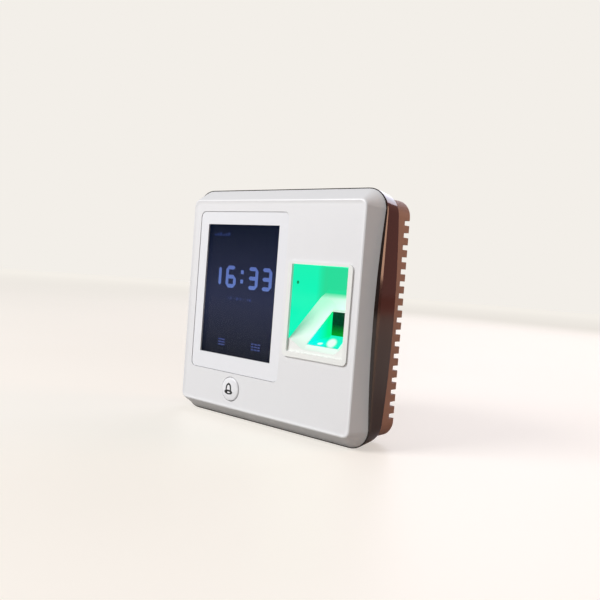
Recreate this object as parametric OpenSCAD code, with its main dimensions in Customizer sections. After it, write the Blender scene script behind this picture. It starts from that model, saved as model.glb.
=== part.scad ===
// Wall-mounted fingerprint terminal: a touch screen, a lit finger well and a bell key.
// Every piece is drawn lying on its back, with the wall plane at z = 0 and the face up,
// and stand() then turns it upright: the face looks along -Y and the wall is the plane Y = 0.

/* [Case] */
// Width across the dark middle frame
body_w = 134; // [130:1:165]
// Height across the dark middle frame
body_h = 127.4; // [122:0.2:156]
// Depth from the wall to the raised edge of the face
body_d = 35.5; // [33:0.5:44]
// How far the dark frame stands out beyond the white rim
frame_lip = 0.4; // [0.2:0.1:1]
// Width of the sloping border around the face
border_run = 6; // [5:0.25:7]
// Depth of the sloping border at the middle of the two sides
border_d = 6.5; // [6:0.1:7]
// Radius of the arc that the front parting line follows
front_arc_r = 850; // [700:10:1200]
// Radius of the face corners
face_r = 4; // [3:0.5:5]
// Radius of the rim corners
rim_r = 11.5; // [10:0.5:13]
// Height of the raised bead around the face
bead_h = 0.6; // [0.4:0.1:1]
// Width of the bead's flat top
bead_w = 0.7; // [0.5:0.1:1]
// Width of the slope from the bead down to the face
bead_run = 1.7; // [1:0.1:2.5]
// Rounding of the face's outer edge
edge_round = 1.2; // [0.6:0.1:1.6]
// Wall thickness of the front cover's face
cover_t = 2.2; // [1.8:0.1:2.6]

/* [Middle frame and rear housing] */
// How much narrower the dark frame is at its back edge, on each side
frame_taper = 2.2; // [1.6:0.1:3]
// Height of the frame's back edge above the wall, at the middle of the two sides
frame_back_h = 11; // [9:0.5:13]
// Radius of the arc that the rear parting line follows
rear_arc_r = 344; // [300:4:420]
// Step from the dark frame in to the rear housing, at the sides
housing_step_x = 2; // [1.6:0.1:2.4]
// Step from the dark frame in to the rear housing, at the top and bottom
housing_step_y = 0.8; // [0.6:0.1:1.2]
// Wall thickness of the rear housing
housing_t = 2; // [1.6:0.1:2.4]
// Gap between the wall and the rear housing's back face
wall_gap = 0.3; // [0.2:0.1:0.6]
// Number of vent slots down each side
vent_count = 17; // [9:2:17]
// Distance between two vent slots
vent_pitch = 6.12; // [5.6:0.02:6.12]
// Width of a vent slot
vent_w = 2.5; // [2:0.1:3]
// How far a vent slot runs up the side wall
vent_up = 4.4; // [3:0.1:5]
// How far a vent slot runs across the back
vent_in = 4.2; // [3.8:0.1:4.6]

/* [Screen] */
// Width of the screen's white bezel
bezel_w = 66.5; // [64:0.5:68]
// Height of the screen's white bezel
bezel_h = 88.4; // [84:0.4:90]
// Distance of the bezel's centre left of the middle
bezel_left = 21.35; // [20.5:0.05:22]
// Distance of the bezel's centre above the middle
bezel_up = 6.4; // [5.5:0.1:7]
// Width of the visible screen
window_w = 54.2; // [50:0.2:56]
// Height of the visible screen
window_h = 72.35; // [66:0.05:74]
// Distance of the screen's centre above the bezel's centre
window_up = 1.1; // [0:0.1:1.5]
// Depth of the groove around the bezel
bezel_drop = 0.3; // [0.1:0.1:0.5]
// Thickness of the bezel's lip over the touch panel
bezel_lip_t = 0.9; // [0.7:0.1:1.1]
// Thickness of the touch panel
touch_t = 1.1; // [0.9:0.1:1.4]

/* [Bell key] */
// Diameter of the bell key
bell_d = 13; // [11:0.5:14]
// Distance of the bell key below the middle
bell_down = 46.7; // [46:0.1:47.4]
// How far the key stands above the face
bell_rise = 1.2; // [0.9:0.1:1.6]
// Clearance around the key
bell_clear = 0.3; // [0.2:0.05:0.4]
// How far the key can be pressed
bell_travel = 0.8; // [0.5:0.1:0.8]

/* [Finger well] */
// Width of the well's opening
well_w = 35.7; // [34:0.1:37]
// Height of the well's opening
well_h = 44.5; // [42:0.5:46]
// Distance of the opening's centre right of the middle
well_right = 35.25; // [34.5:0.05:36]
// Distance of the opening's centre above the middle
well_up = 2.15; // [1.5:0.05:3]
// Depth of the well's back wall behind the raised edge
well_d = 27; // [26:0.25:27.5]
// Rise of the finger rest for each unit of depth
rest_slope = 0.9; // [0.85:0.01:0.95]
// Height of the finger rest's edge above the opening's lower edge
rest_up = 5.4; // [4.5:0.1:6]
// Depth of the finger groove, measured straight down
groove_d = 4.8; // [3.5:0.1:5.2]
// Radius of the bend between the rest and the back wall
bend_r = 6; // [4:0.5:7]
// Radius of the well's upright corners
well_corner_r = 3.5; // [2:0.5:4]
// Thickness of the well's lining
liner_t = 0.9; // [0.7:0.1:1.1]
// Height of the well's frame above the face
well_frame_h = 0.9; // [0.6:0.1:1.2]
// Width of the well's frame at the left and right
well_frame_side = 2.6; // [2.2:0.1:2.8]
// Width of the well's frame at the top
well_frame_top = 1.4; // [1.3:0.1:1.6]
// Width of the well's frame at the bottom
well_frame_bottom = 2.9; // [2.4:0.1:3.2]
// Width of the sensor's glass
glass_w = 19.8; // [17:0.2:20.6]
// Distance of the glass's centre right of the opening's centre
glass_right = 2.15; // [0:0.05:2.4]
// Depth at which the glass starts
glass_near = 4; // [3.6:0.1:4.4]
// Distance of the glass's far end in front of the well's back wall
glass_back = 3; // [2.8:0.1:4]

/* [Wall plate] */
// Distance between the wall screws, across
screw_span_x = 84; // [80:0.5:86]
// Distance between the wall screws, up and down
screw_span_z = 60; // [56:0.5:62]
// Diameter of the wall screw holes
screw_hole_d = 4.5; // [4:0.1:5]
// Width of the plate
plate_w = 104; // [100:1:105]
// Height of the plate
plate_h = 80; // [76:1:82]
// Thickness of the plate
plate_t = 1.5; // [1.2:0.1:1.8]
// Width of the cable opening
cable_w = 52; // [46:1:54]
// Height of the cable opening
cable_h = 36; // [32:1:38]
// Distance of the cable opening's centre left of the middle
cable_left = 20; // [18:0.5:22]

/* [Hidden] */
$fn = 48;

white = "whitesmoke";
dark = "#33291f";
taupe = "#80594a";
glow = "#22e6ac";
black = "#202022";
steel = "silver";
board_green = "seagreen";

eps = 0.01;
past = 1;              // how far a cut runs past the face it opens
seat_gap = 0.1;        // between pieces that seat on each other
reach = 60;            // longer than any cut is deep
hull_fn = 40;          // segments of a circle inside a hull
bend_steps = 5;        // straight steps in each rounded bend of the well
arc_fn = 900;          // segments of the two large parting arcs
crown_fn = 160;        // segments of the key's crown
arc_room = 4;          // more than the front parting arc bends
dish_corner = 1.4;     // how much tighter the dish's corners are than the face's

// heights above the wall, from the face backwards
panel_h = body_d - bead_h;
cover_in_h = panel_h - cover_t;
bezel_top_h = panel_h - bezel_drop;
gasket_t = 0.3;
gasket_in = 0.5;
touch_top_h = bezel_top_h - bezel_lip_t - gasket_t;
lcd_gap = 0.2;
lcd_top_h = touch_top_h - touch_t - lcd_gap;
lcd_t = 1.4;
light_t = 1.6;
tray_t = 0.4;
tray_back_h = lcd_top_h - lcd_t - light_t - tray_t;
board_t = 1.6;
tape_t = 0.2;
display_h = tray_back_h - tape_t - board_t;

// half sizes of the case, seen from the front
rim_x = body_w / 2 - frame_lip;
rim_y = body_h / 2 - frame_lip;
face_x = rim_x - border_run;
face_y = rim_y - border_run;
housing_x = body_w / 2 - frame_taper - housing_step_x;
housing_y = body_h / 2 - frame_taper - housing_step_y;
housing_r = 9;
fit_gap = 0.15;        // between case parts that slide into each other

// parting surfaces and the sloping border
front_mid_h = body_d - border_d;
front_axis_h = front_mid_h - front_arc_r;
rear_axis_h = frame_back_h + rear_arc_r;
rim_low_h = front_mid_h - rim_y * rim_y / (2 * front_arc_r) - 0.1;
frame_wide_h = rim_low_h;
frame_wide_r = rim_r + frame_lip;
side_t = 3.2;          // the border's wall, measured sideways
edge_layers = 4;

// tongue that slides into the middle frame
tongue_in = 2.2;
tongue_t = 1.4;
tongue_d = 2.4;
tongue_x = rim_x - tongue_in;
tongue_y = rim_y - tongue_in;
tongue_r = rim_r - tongue_in;
tongue_low_h = rim_low_h - tongue_d;
tongue_top_h = front_mid_h + 0.3;
housing_top_h = tongue_low_h - 0.3;

// back of the rear housing: a raised floor over the wall plate's recess
back_t = 2;
recess_gap = 0.3;
recess_h = plate_t + recess_gap;
floor_h = recess_h + back_t;
edge_floor_h = wall_gap + back_t;

// case screws
case_x = housing_x - 6.2;
case_y = housing_y - 7.6;
case_post_r = 3.2;
case_clear_r = 1.7;
case_pilot_r = 1.3;
case_shank_r = 1.25;
case_joint_h = 16;
case_head_r = 2.8;
case_head_t = 2.1;
case_seat_h = wall_gap + case_head_t + 0.6;
case_sink_r = case_head_r + 0.3;
case_tip_h = case_joint_h + 11;
case_pilot_spare = 3;

// screen
bezel_x = -bezel_left;
window_y = bezel_up + window_up;
bezel_gap = 0.25;
bezel_r = 3;
flange_w = 1.2;
flange_t = 0.9;
flange_r = 6;
pocket_grow_x = 4.9;
pocket_grow_y = 5.1;
touch_clear = 0.25;
lcd_grow_x = 2.2;
lcd_grow_y = 1.7;
tray_grow = tray_t + 0.2;
lcd_x = window_w / 2 + lcd_grow_x;
lcd_y = window_h / 2 + lcd_grow_y;
tray_x = lcd_x + tray_grow;
tray_y = lcd_y + tray_grow;

// display board and its posts
display_left = bezel_x - bezel_w / 2 + 1.6;
display_right = well_right - well_w / 2 - liner_t - 4;
display_top = bezel_up + bezel_h / 2 + 0.9;
display_low = -bell_down - 7.3;
post_r = 2;
post_dx = 27;
post_top_y = window_y + tray_y + 2.2;
post_low_y = -bell_down - 3.3;
post_pilot_r = 0.8;
pilot_floor = 0.6;
display_screw_r = 0.75;
display_head_r = 1.8;
display_head_t = 1.3;
display_clear_r = 1.1;
display_screw_len = 5;

// bell key
bell_top_h = panel_h + bell_rise;
bell_crown = 0.7;
bell_flange_top_h = cover_in_h - 0.1;
bell_flange_t = 1;
bell_flange_r = bell_d / 2 + 0.9;
bell_under_h = bell_flange_top_h - bell_flange_t;
stem_r = 1.5;
stem_clear = 0.3;
stem_top_h = bell_under_h - 0.6;
switch_top_h = stem_top_h - 0.9;
switch_w = 6;
switch_bore_h = display_h + board_t + 0.25;
stem_low_h = switch_bore_h + bell_travel + 0.2;

// finger well
well_left_x = well_right - well_w / 2;
well_right_x = well_right + well_w / 2;
well_low_y = well_up - well_h / 2;
well_top_y = well_up + well_h / 2;
rest_y = well_low_y + rest_up;
groove_y = rest_y - groove_d;
glass_x = well_right + glass_right;
glass_far = well_d - glass_back;
rest_angle = atan(rest_slope);
ledge_d = 1.1;         // depth of the well frame's inner edge
rest_edge = 0.4;       // flat strip between the well's sides and the groove
groove_over = 1.4;     // how far the groove's cutter runs on above the rest
rest_shell = 2.7;      // the rest's wall, measured straight down
liner_back_d = well_d + liner_t;
frame_top_d = bead_h - well_frame_h;
well_frame_r = 2.6;
roof_r = 1.5;
cut_gap = 0.15;

// sensor under the glass
glass_gap = 0.1;
prism_low_y = groove_y + rest_slope * glass_near;
prism_high_y = groove_y + rest_slope * glass_far;
absorber_t = 0.6;
holder_t = 1.4;
absorber_gap = 0.2;
film_gap = 0.02;
absorber_low_y = prism_low_y + 0.1;
absorber_high_y = groove_y + rest_slope * glass_far - rest_shell - 0.3;
holder_in_d = glass_far + glass_gap + absorber_t + 0.05;
holder_back_d = holder_in_d + holder_t;
holder_low_y = prism_low_y - glass_gap - holder_t;
holder_x = glass_w / 2 + glass_gap + holder_t;
led_r = 1.5;
led_rim_r = 1.8;
led_rim_t = 0.6;
led_dx = 5;
led_near = glass_near + 5;
led_pitch = 8;
led_far = led_near + led_pitch;
led_hole_r = led_rim_r + 0.1;
led_board_t = 1.2;
led_board_gap = 0.4;
led_board_y = holder_low_y - led_board_gap - led_board_t;
lens_r = 3.2;
lens_nose_r = 2;
lens_hole_r = 2.3;
lens_hole_in = 0.4;
lens_wall = 0.6;
lens_len = 3.4;
lens_y = prism_low_y + 8.5;
imager_t = 1.2;
imager_w = 20;
imager_l = 16;
imager_top_d = holder_back_d + 0.1 + lens_len;

// wall plate
plate_r = 4;
cable_r = 2;
hook_w = 7;
hook_t = 1.5;
hook_lip = 3;
hook_gap = 0.2;
hook_x = 26;
hook_y = [-30, 33];
slot_gap = 0.4;
lock_leg_y = -housing_y + 7.2;
lock_leg_top_h = 9;
lock_tab_w = 12;
lock_hole_h = 5.4;
lock_pilot_r = 1.3;
lock_shank_r = 1.25;
lock_clear_r = 1.7;
lock_head_r = 2.6;
lock_head_t = 1.2;
lock_tip = 1;
lock_cut = 5;
cross_span = 1.3;      // cross recess, as shares of the screw head's radius
cross_w = 0.3;
cross_deep = 0.4;

// main board and what stands on it
main_left = -54;
main_right = display_right + 1;
main_low = -45;
main_top = 49;
main_h = 18.4;
main_post_r = 3;
main_post_x = [main_left + 3.5, main_right - 3.5];
main_post_y = [main_low + 3.5, main_top - 3.5];
main_pilot_r = 1;
main_shank_r = 0.95;
main_clear_r = 1.4;
main_head_r = 2.3;
main_head_t = 1.5;
main_screw_len = 8;
jack_w = 16;
jack_l = 14;
jack_x = -cable_left + 14;
jack_low_h = floor_h + 0.8;
jack_mouth_w = 12;
jack_mouth_l = 8.4;
jack_mouth_d = 11;
jack_notch_w = 6;
jack_notch_l = 2;
term_w = 11;
term_l = 14.6;
term_x = [-cable_left - 18, -cable_left - 5];
term_low_h = 7;
term_ways = 4;
term_pitch = 3.5;
term_hole_r = 1.2;
term_hole_d = 6;
term_wire_x = term_w / 5;
term_screw_x = term_w / 4;
term_screw_d = term_hole_d / 3;
relay_w = 15.4;
relay_l = 19;
relay_x = -22;
relay_y = -32;
relay_low_h = 6.6;
shield_w = 24;
shield_x = -22;
shield_y = 18;
shield_t = 2.4;
cell_r = 10;
cell_t = 3.2;
cell_x = -24;
cell_y = 33;
holder_rim = 1;
holder_wall = 1.5;
holder_lip = 0.5;
speaker_w = 30;
speaker_h = 14;
speaker_t = 5;
speaker_rim = 2;
speaker_dish = 1;
speaker_x = 36;
speaker_mid_h = 12.5;
grille_slots = 7;
grille_pitch = 3;
grille_w = 1.2;
grille_l = 9;
tamper_x = 6;
tamper_y = 33;
tamper_w = 6;
tamper_t = 4;
tamper_travel = 0.8;
pin_r = 1.2;
pin_gap = 0.3;
pin_in = 2;
pin_rest = 0.05;

// flat cables
ribbon_t = 0.3;
ribbon_plug_t = 1;
ribbon_plug_l = 4;
ribbon_tail = 3;
ribbon_start = 1;
rise_gap = 0.6;
ribbon_w = 20;
ribbon_x = -34;
ribbon_y = -30;
ribbon_run = 14;
sensor_ribbon_w = 8;
sensor_film_w = sensor_ribbon_w - 1;
sensor_ribbon_r = 1.5;

function border_in(h) = border_run * (h - rim_low_h) / (body_d - rim_low_h);

// ---------- helpers ----------

// turns a piece drawn on its back upright
module stand() {
    rotate([90, 0, 0]) children();
}

module round_rect(w, h, r) {
    square([w - 2 * r, h], center = true);
    square([w, h - 2 * r], center = true);
    for (sx = [-1, 1], sy = [-1, 1]) translate([sx * (w / 2 - r), sy * (h / 2 - r)]) circle(r);
}

// slab with round corners between two heights
module slab(half_x, half_y, r, low, high) {
    translate([0, 0, low]) linear_extrude(high - low) round_rect(2 * half_x, 2 * half_y, r);
}

// thin layer for a hull: the case's outline at one height
module layer(half_x, half_y, r, h) {
    slab(half_x, half_y, r, h - eps, h, $fn = hull_fn);
}

module block(x, y, w, l, low, high) {
    translate([x - w / 2, y - l / 2, low]) cube([w, l, high - low]);
}

module post(x, y, r, low, high) {
    translate([x, y, low]) cylinder(r = r, h = high - low);
}

module at_case_screws() {
    for (sx = [-1, 1], sy = [-1, 1]) translate([sx * case_x, sy * case_y, 0]) children();
}

module at_display_posts(y) {
    for (sx = [-1, 1]) translate([bezel_x + sx * post_dx, y, 0]) children();
}

module at_main_posts() {
    for (x = main_post_x, y = main_post_y) translate([x, y, 0]) children();
}

// everything behind the front parting line: a long cylinder that lies across the case
module behind_front_arc() {
    translate([-body_w, 0, front_axis_h]) rotate([0, 90, 0])
        cylinder(r = front_arc_r, h = 2 * body_w, $fn = arc_fn);
}

module before_rear_arc() {
    translate([-body_w, 0, rear_axis_h]) rotate([0, 90, 0])
        cylinder(r = rear_arc_r, h = 2 * body_w, $fn = arc_fn);
}

// an outline drawn as (depth behind the raised edge, height), pulled across the well
module across(x_from, x_to) {
    translate([x_from, 0, body_d]) rotate([0, 90, 0]) linear_extrude(x_to - x_from) children();
}

// ---------- finger well shapes ----------

// arc that joins a slope, which starts at y0, to an upright wall at depth back
function bend(y0, back) =
    let (cd = back - bend_r)
    let (cy = y0 + rest_slope * cd + bend_r / cos(rest_angle))
    [for (i = [0:bend_steps])
        let (a = rest_angle - 90 + i * (90 - rest_angle) / bend_steps)
        [cd + bend_r * cos(a), cy + bend_r * sin(a)]];

function roof_bend(back) =
    [for (i = [0:bend_steps])
        let (a = i * 90 / bend_steps)
        [back - roof_r + roof_r * cos(a), well_top_y - roof_r + roof_r * sin(a)]];

// side view of the open space above a rest that starts at y0
function air(y0, back) = concat(
    [[ledge_d - eps, well_top_y], [ledge_d - eps, y0 + rest_slope * ledge_d]],
    bend(y0, back),
    roof_bend(back));

// the well seen from above: straight sides, and round upright corners at the back
module well_plan() {
    back_h = body_d - well_d;
    translate([0, well_top_y + past, 0]) rotate([90, 0, 0]) linear_extrude(well_h + 2 * past) {
        translate([well_left_x + well_corner_r, back_h]) square([well_w - 2 * well_corner_r, reach]);
        translate([well_left_x, back_h + well_corner_r]) square([well_w, reach]);
        for (x = [well_left_x + well_corner_r, well_right_x - well_corner_r])
            translate([x, back_h + well_corner_r]) circle(well_corner_r);
    }
}

// space between two planes that fall from near the well's sides to the edges of the glass
module groove_sides() {
    drop = groove_d * cos(rest_angle);
    left_x = well_left_x + rest_edge;
    right_x = well_right_x - rest_edge;
    left_run = glass_x - glass_w / 2 - left_x;
    right_run = right_x - glass_x - glass_w / 2;
    translate([0, rest_y, body_d]) rotate([rest_angle, 0, 0]) translate([0, 0, -reach])
        linear_extrude(2 * reach)
            polygon([[left_x - left_run, drop],
                     [left_x + groove_over * left_run, -groove_over * drop],
                     [right_x - groove_over * right_run, -groove_over * drop],
                     [right_x + right_run, drop]]);
}

// the well's open space: over the rest's edges, and down into the finger groove
module well_air() {
    intersection() {
        well_plan();
        union() {
            across(well_left_x - past, well_right_x + past) polygon(air(rest_y, well_d));
            intersection() {
                across(well_left_x - past, well_right_x + past) polygon(air(groove_y, well_d));
                groove_sides();
            }
        }
    }
}

// height at which the rest's bend meets the back wall
function bend_top(y0) = y0 + rest_slope * (well_d - bend_r) + bend_r / cos(rest_angle);
function rest_under(d) = groove_y + rest_slope * d - rest_shell;

// side view of the finger rest's wedge
function rest_side() = let (low_y = well_low_y - liner_t, start_d = ledge_d / 2) concat(
    [[start_d, low_y], [start_d, rest_y + rest_slope * start_d]],
    bend(rest_y, well_d),
    [[liner_back_d, bend_top(rest_y)],
     [liner_back_d, rest_under(liner_back_d)],
     [(low_y - rest_under(0)) / rest_slope, low_y]]);

// side view of the lining above the finger rest
function liner_side() = concat(
    [[ledge_d, well_top_y + liner_t], [ledge_d, rest_y + rest_slope * ledge_d]],
    bend(rest_y, well_d),
    [[liner_back_d, bend_top(rest_y)], [liner_back_d, well_top_y + liner_t]]);

// the glass block, or the space for it with a gap g all round that is open by rise at the top
module prism_shape(g, rise) {
    across(glass_x - glass_w / 2 - g, glass_x + glass_w / 2 + g)
        polygon([[glass_near - g / rest_slope, prism_low_y - g],
                 [glass_far + g, prism_low_y - g],
                 [glass_far + g, prism_high_y + g * rest_slope + rise],
                 [glass_near - g / rest_slope, prism_low_y - g + rise]]);
}

module well_opening(grow, low, high) {
    block(well_right, well_up, well_w + 2 * grow, well_h + 2 * grow, low, high);
}

module at_leds() {
    for (sx = [-1, 1], d = [led_near, led_far])
        translate([glass_x + sx * led_dx, 0, body_d - d]) rotate([-90, 0, 0]) children();
}

// ---------- case ----------

// sloping border with a rounded front edge
module cover_outside() {
    hull() {
        layer(rim_x, rim_y, rim_r, rim_low_h);
        for (i = [0:edge_layers]) {
            a = i * 90 / edge_layers;
            in = edge_round * (1 - cos(a));
            out = edge_round / 3;
            layer(face_x + out - in, face_y + out - in, face_r - in, body_d - edge_round * (1 - sin(a)));
        }
    }
}

module cover_inside() {
    in = side_t + border_in(cover_in_h);
    hull() {
        layer(rim_x - side_t, rim_y - side_t, rim_r - side_t, rim_low_h - eps);
        layer(rim_x - in, rim_y - in, face_r + past, cover_in_h);
    }
}

module cover_tongue() {
    difference() {
        slab(tongue_x, tongue_y, tongue_r, tongue_low_h, tongue_top_h);
        slab(tongue_x - tongue_t, tongue_y - tongue_t, tongue_r - tongue_t, 0, reach);
    }
}

module front_cover() {
    dish_in = bead_w + bead_run;
    color(white) difference() {
        union() {
            difference() {
                cover_outside();
                cover_inside();
                behind_front_arc();
            }
            cover_tongue();
            at_case_screws() post(0, 0, case_post_r, case_joint_h, cover_in_h + eps);
            at_display_posts(post_low_y) post(0, 0, post_r, display_h + board_t, cover_in_h + eps);
        }
        hull() {
            layer(face_x - dish_in, face_y - dish_in, face_r - dish_corner, panel_h + eps);
            layer(face_x - bead_w, face_y - bead_w, face_r - dish_corner / 2, body_d + eps);
        }
        translate([bezel_x, bezel_up, 0])
            slab(bezel_w / 2 + bezel_gap, bezel_h / 2 + bezel_gap, bezel_r + bezel_gap,
                 cover_in_h - past, reach);
        post(bezel_x, -bell_down, bell_d / 2 + bell_clear, cover_in_h - past, reach);
        well_opening(liner_t + cut_gap, cover_in_h - past, reach);
        at_case_screws() post(0, 0, case_pilot_r, 0, case_tip_h + case_pilot_spare);
        at_display_posts(post_low_y) post(0, 0, post_pilot_r, 0, cover_in_h - pilot_floor);
    }
}

// upright at the front, and tapered towards the wall
module frame_outside() {
    low = frame_back_h - past;
    hull() for (sx = [-1, 1], sy = [-1, 1])
        translate([sx * (body_w / 2 - frame_wide_r), sy * (body_h / 2 - frame_wide_r), low]) {
            cylinder(r1 = frame_wide_r - frame_taper, r2 = frame_wide_r, h = frame_wide_h - low,
                     $fn = hull_fn);
            translate([0, 0, frame_wide_h - low])
                cylinder(r = frame_wide_r, h = front_mid_h + past - frame_wide_h, $fn = hull_fn);
        }
}

module mid_frame() {
    color(dark) difference() {
        frame_outside();
        slab(housing_x + fit_gap, housing_y + fit_gap, housing_r + fit_gap, 0, reach);
        slab(tongue_x + fit_gap, tongue_y + fit_gap, tongue_r + fit_gap, tongue_low_h - fit_gap, reach);
        difference() {
            block(0, 0, 2 * body_w, 2 * body_h, front_mid_h - arc_room, body_d);
            behind_front_arc();
        }
        difference() {
            block(0, 0, 2 * body_w, 2 * body_h, 0, housing_top_h - past);
            before_rear_arc();
        }
    }
}

// outline of the space that the plate lies in, with its locking tongue
module plate_outline(grow) {
    round_rect(plate_w + 2 * grow, plate_h + 2 * grow, plate_r + grow);
    translate([0, lock_leg_y / 2 - grow / 2])
        square([lock_tab_w + 2 * grow, -lock_leg_y + grow], center = true);
}

module vent_slots() {
    first = -(vent_count - 1) / 2;
    for (sx = [-1, 1], i = [0:vent_count - 1])
        block(sx * (housing_x + past - (vent_in + past) / 2), (first + i) * vent_pitch,
              vent_in + past, vent_w, -past, wall_gap + vent_up);
}

module housing_solid() {
    difference() {
        slab(housing_x, housing_y, housing_r, wall_gap, housing_top_h);
        slab(housing_x - housing_t, housing_y - housing_t, housing_r - housing_t, edge_floor_h, reach);
    }
    translate([0, 0, edge_floor_h - eps])
        linear_extrude(floor_h - edge_floor_h + eps) plate_outline(recess_gap + back_t);
    at_case_screws() post(0, 0, case_post_r, edge_floor_h - eps, case_joint_h - seat_gap);
    at_main_posts() post(0, 0, main_post_r, edge_floor_h, main_h);
}

module rear_housing() {
    leg_slot_l = hook_lip + hook_t + 2 * slot_gap;
    color(taupe) difference() {
        housing_solid();
        translate([0, 0, -past]) linear_extrude(recess_h + past) plate_outline(recess_gap);
        vent_slots();
        block(-cable_left, 0, cable_w, cable_h, 0, floor_h + past);
        for (sx = [-1, 1], y = hook_y)
            block(sx * hook_x, y + hook_t / 2 + slot_gap - leg_slot_l / 2, hook_w + 2 * slot_gap,
                  leg_slot_l, 0, floor_h + past);
        block(0, lock_leg_y + hook_t + slot_gap - leg_slot_l / 2, lock_tab_w + 2 * slot_gap,
              leg_slot_l, 0, floor_h + past);
        at_case_screws() post(0, 0, case_clear_r, 0, reach);
        at_case_screws() post(0, 0, case_sink_r, 0, case_seat_h);
        at_main_posts() post(0, 0, main_pilot_r, main_h - main_screw_len, reach);
        post(tamper_x, tamper_y, pin_r + pin_gap, 0, floor_h + past);
        translate([0, -housing_y - past, lock_hole_h]) rotate([-90, 0, 0])
            cylinder(r = lock_clear_r, h = lock_cut);
        for (i = [0:grille_slots - 1])
            block(speaker_x + (i - (grille_slots - 1) / 2) * grille_pitch, -housing_y + housing_t / 2,
                  grille_w, housing_t + 2, speaker_mid_h - grille_l / 2, speaker_mid_h + grille_l / 2);
    }
}

module plate_hook(y) {
    block(0, y, hook_w, hook_t, plate_t - eps, floor_h + hook_gap + hook_t);
    block(0, y + hook_lip / 2, hook_w, hook_t + hook_lip,
          floor_h + hook_gap, floor_h + hook_gap + hook_t);
}

module wall_plate() {
    color(steel) difference() {
        union() {
            linear_extrude(plate_t) plate_outline(0);
            for (sx = [-1, 1], y = hook_y) translate([sx * hook_x, 0, 0]) plate_hook(y);
            block(0, lock_leg_y + hook_t / 2, lock_tab_w, hook_t, 0, lock_leg_top_h);
        }
        translate([-cable_left, 0, -past]) linear_extrude(plate_t + 2 * past)
            round_rect(cable_w, cable_h, cable_r);
        for (sx = [-1, 1], sy = [-1, 1])
            post(sx * screw_span_x / 2, sy * screw_span_z / 2, screw_hole_d / 2, -past, plate_t + past);
        translate([0, lock_leg_y - past, lock_hole_h]) rotate([-90, 0, 0])
            cylinder(r = lock_pilot_r, h = hook_t + 2 * past);
    }
}

module plate_lock_screw() {
    color(steel) translate([0, -housing_y - lock_head_t, lock_hole_h]) rotate([-90, 0, 0]) difference() {
        union() {
            cylinder(r = lock_head_r, h = lock_head_t);
            cylinder(r = lock_shank_r, h = lock_head_t + housing_y + lock_leg_y + hook_t + lock_tip);
        }
        translate([0, 0, -eps]) cylinder(r = lock_head_r / 2, h = lock_head_t / 2, $fn = 6);
    }
}

module cross_recess(r) {
    for (a = [0, 90]) rotate(a) block(0, 0, cross_span * r, cross_w * r, -eps, cross_deep * r);
}

module case_screws() {
    low = case_seat_h - case_head_t;
    color(steel) at_case_screws() difference() {
        union() {
            post(0, 0, case_head_r, low, case_seat_h);
            post(0, 0, case_shank_r, low, case_tip_h);
        }
        translate([0, 0, low]) cross_recess(case_head_r);
    }
}

// ---------- screen ----------

module screen_bezel() {
    color(white) difference() {
        union() {
            translate([bezel_x, bezel_up, 0]) {
                slab(bezel_w / 2, bezel_h / 2, bezel_r, cover_in_h - flange_t, bezel_top_h);
                slab(bezel_w / 2 + flange_w, bezel_h / 2 + flange_w, flange_r,
                     cover_in_h - flange_t, cover_in_h);
            }
            at_display_posts(post_top_y) post(0, 0, post_r, display_h + board_t, cover_in_h);
        }
        block(bezel_x, window_y, window_w, window_h, 0, reach);
        block(bezel_x, window_y, window_w + 2 * pocket_grow_x, window_h + 2 * pocket_grow_y,
              cover_in_h - flange_t - past, bezel_top_h - bezel_lip_t);
        at_display_posts(post_top_y) post(0, 0, post_pilot_r, 0, cover_in_h);
    }
}

module bezel_gasket() {
    color(black) difference() {
        block(bezel_x, window_y, window_w + 2 * (pocket_grow_x - touch_clear),
              window_h + 2 * (pocket_grow_y - touch_clear), touch_top_h, touch_top_h + gasket_t);
        block(bezel_x, window_y, window_w + 2 * gasket_in, window_h + 2 * gasket_in, 0, reach);
    }
}

module touch_panel() {
    color(black) block(bezel_x, window_y, window_w + 2 * (pocket_grow_x - touch_clear),
                       window_h + 2 * (pocket_grow_y - touch_clear), touch_top_h - touch_t, touch_top_h);
}

module lcd_panel() {
    color("midnightblue") block(bezel_x, window_y, 2 * lcd_x, 2 * lcd_y, lcd_top_h - lcd_t, lcd_top_h);
}

module backlight() {
    color("white") block(bezel_x, window_y, 2 * lcd_x, 2 * lcd_y, tray_back_h + tray_t, lcd_top_h - lcd_t);
}

module lcd_frame() {
    color(steel) difference() {
        block(bezel_x, window_y, 2 * tray_x, 2 * tray_y, tray_back_h, lcd_top_h - seat_gap);
        block(bezel_x, window_y, 2 * (lcd_x + seat_gap), 2 * (lcd_y + seat_gap),
              tray_back_h + tray_t, reach);
    }
}

module display_board() {
    color(board_green) difference() {
        translate([display_left, display_low, display_h])
            cube([display_right - display_left, display_top - display_low, board_t]);
        for (y = [post_low_y, post_top_y]) at_display_posts(y) post(0, 0, display_clear_r, 0, reach);
    }
}

module display_screws() {
    color(steel) for (y = [post_low_y, post_top_y]) at_display_posts(y) {
        post(0, 0, display_head_r, display_h - display_head_t, display_h);
        post(0, 0, display_screw_r, display_h - eps, display_h + display_screw_len);
    }
}

// ---------- bell key ----------

// cap with a low crown, held behind the cover by its flange
module bell_button() {
    r = bell_d / 2;
    crown_r = (r * r + bell_crown * bell_crown) / (2 * bell_crown);
    color(white) translate([bezel_x, -bell_down, 0]) {
        intersection() {
            post(0, 0, r, bell_under_h, reach);
            translate([0, 0, bell_top_h - crown_r]) sphere(crown_r, $fn = crown_fn);
        }
        post(0, 0, bell_flange_r, bell_under_h, bell_flange_top_h);
        post(0, 0, stem_r, stem_top_h, bell_under_h + eps);
    }
}

module bell_switch() {
    color(black) difference() {
        block(bezel_x, -bell_down, switch_w, switch_w, display_h + board_t, switch_top_h);
        post(bezel_x, -bell_down, stem_r + stem_clear, switch_bore_h, reach);
    }
}

module bell_switch_stem() {
    color("sienna") post(bezel_x, -bell_down, stem_r, stem_low_h, stem_top_h);
}

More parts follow.
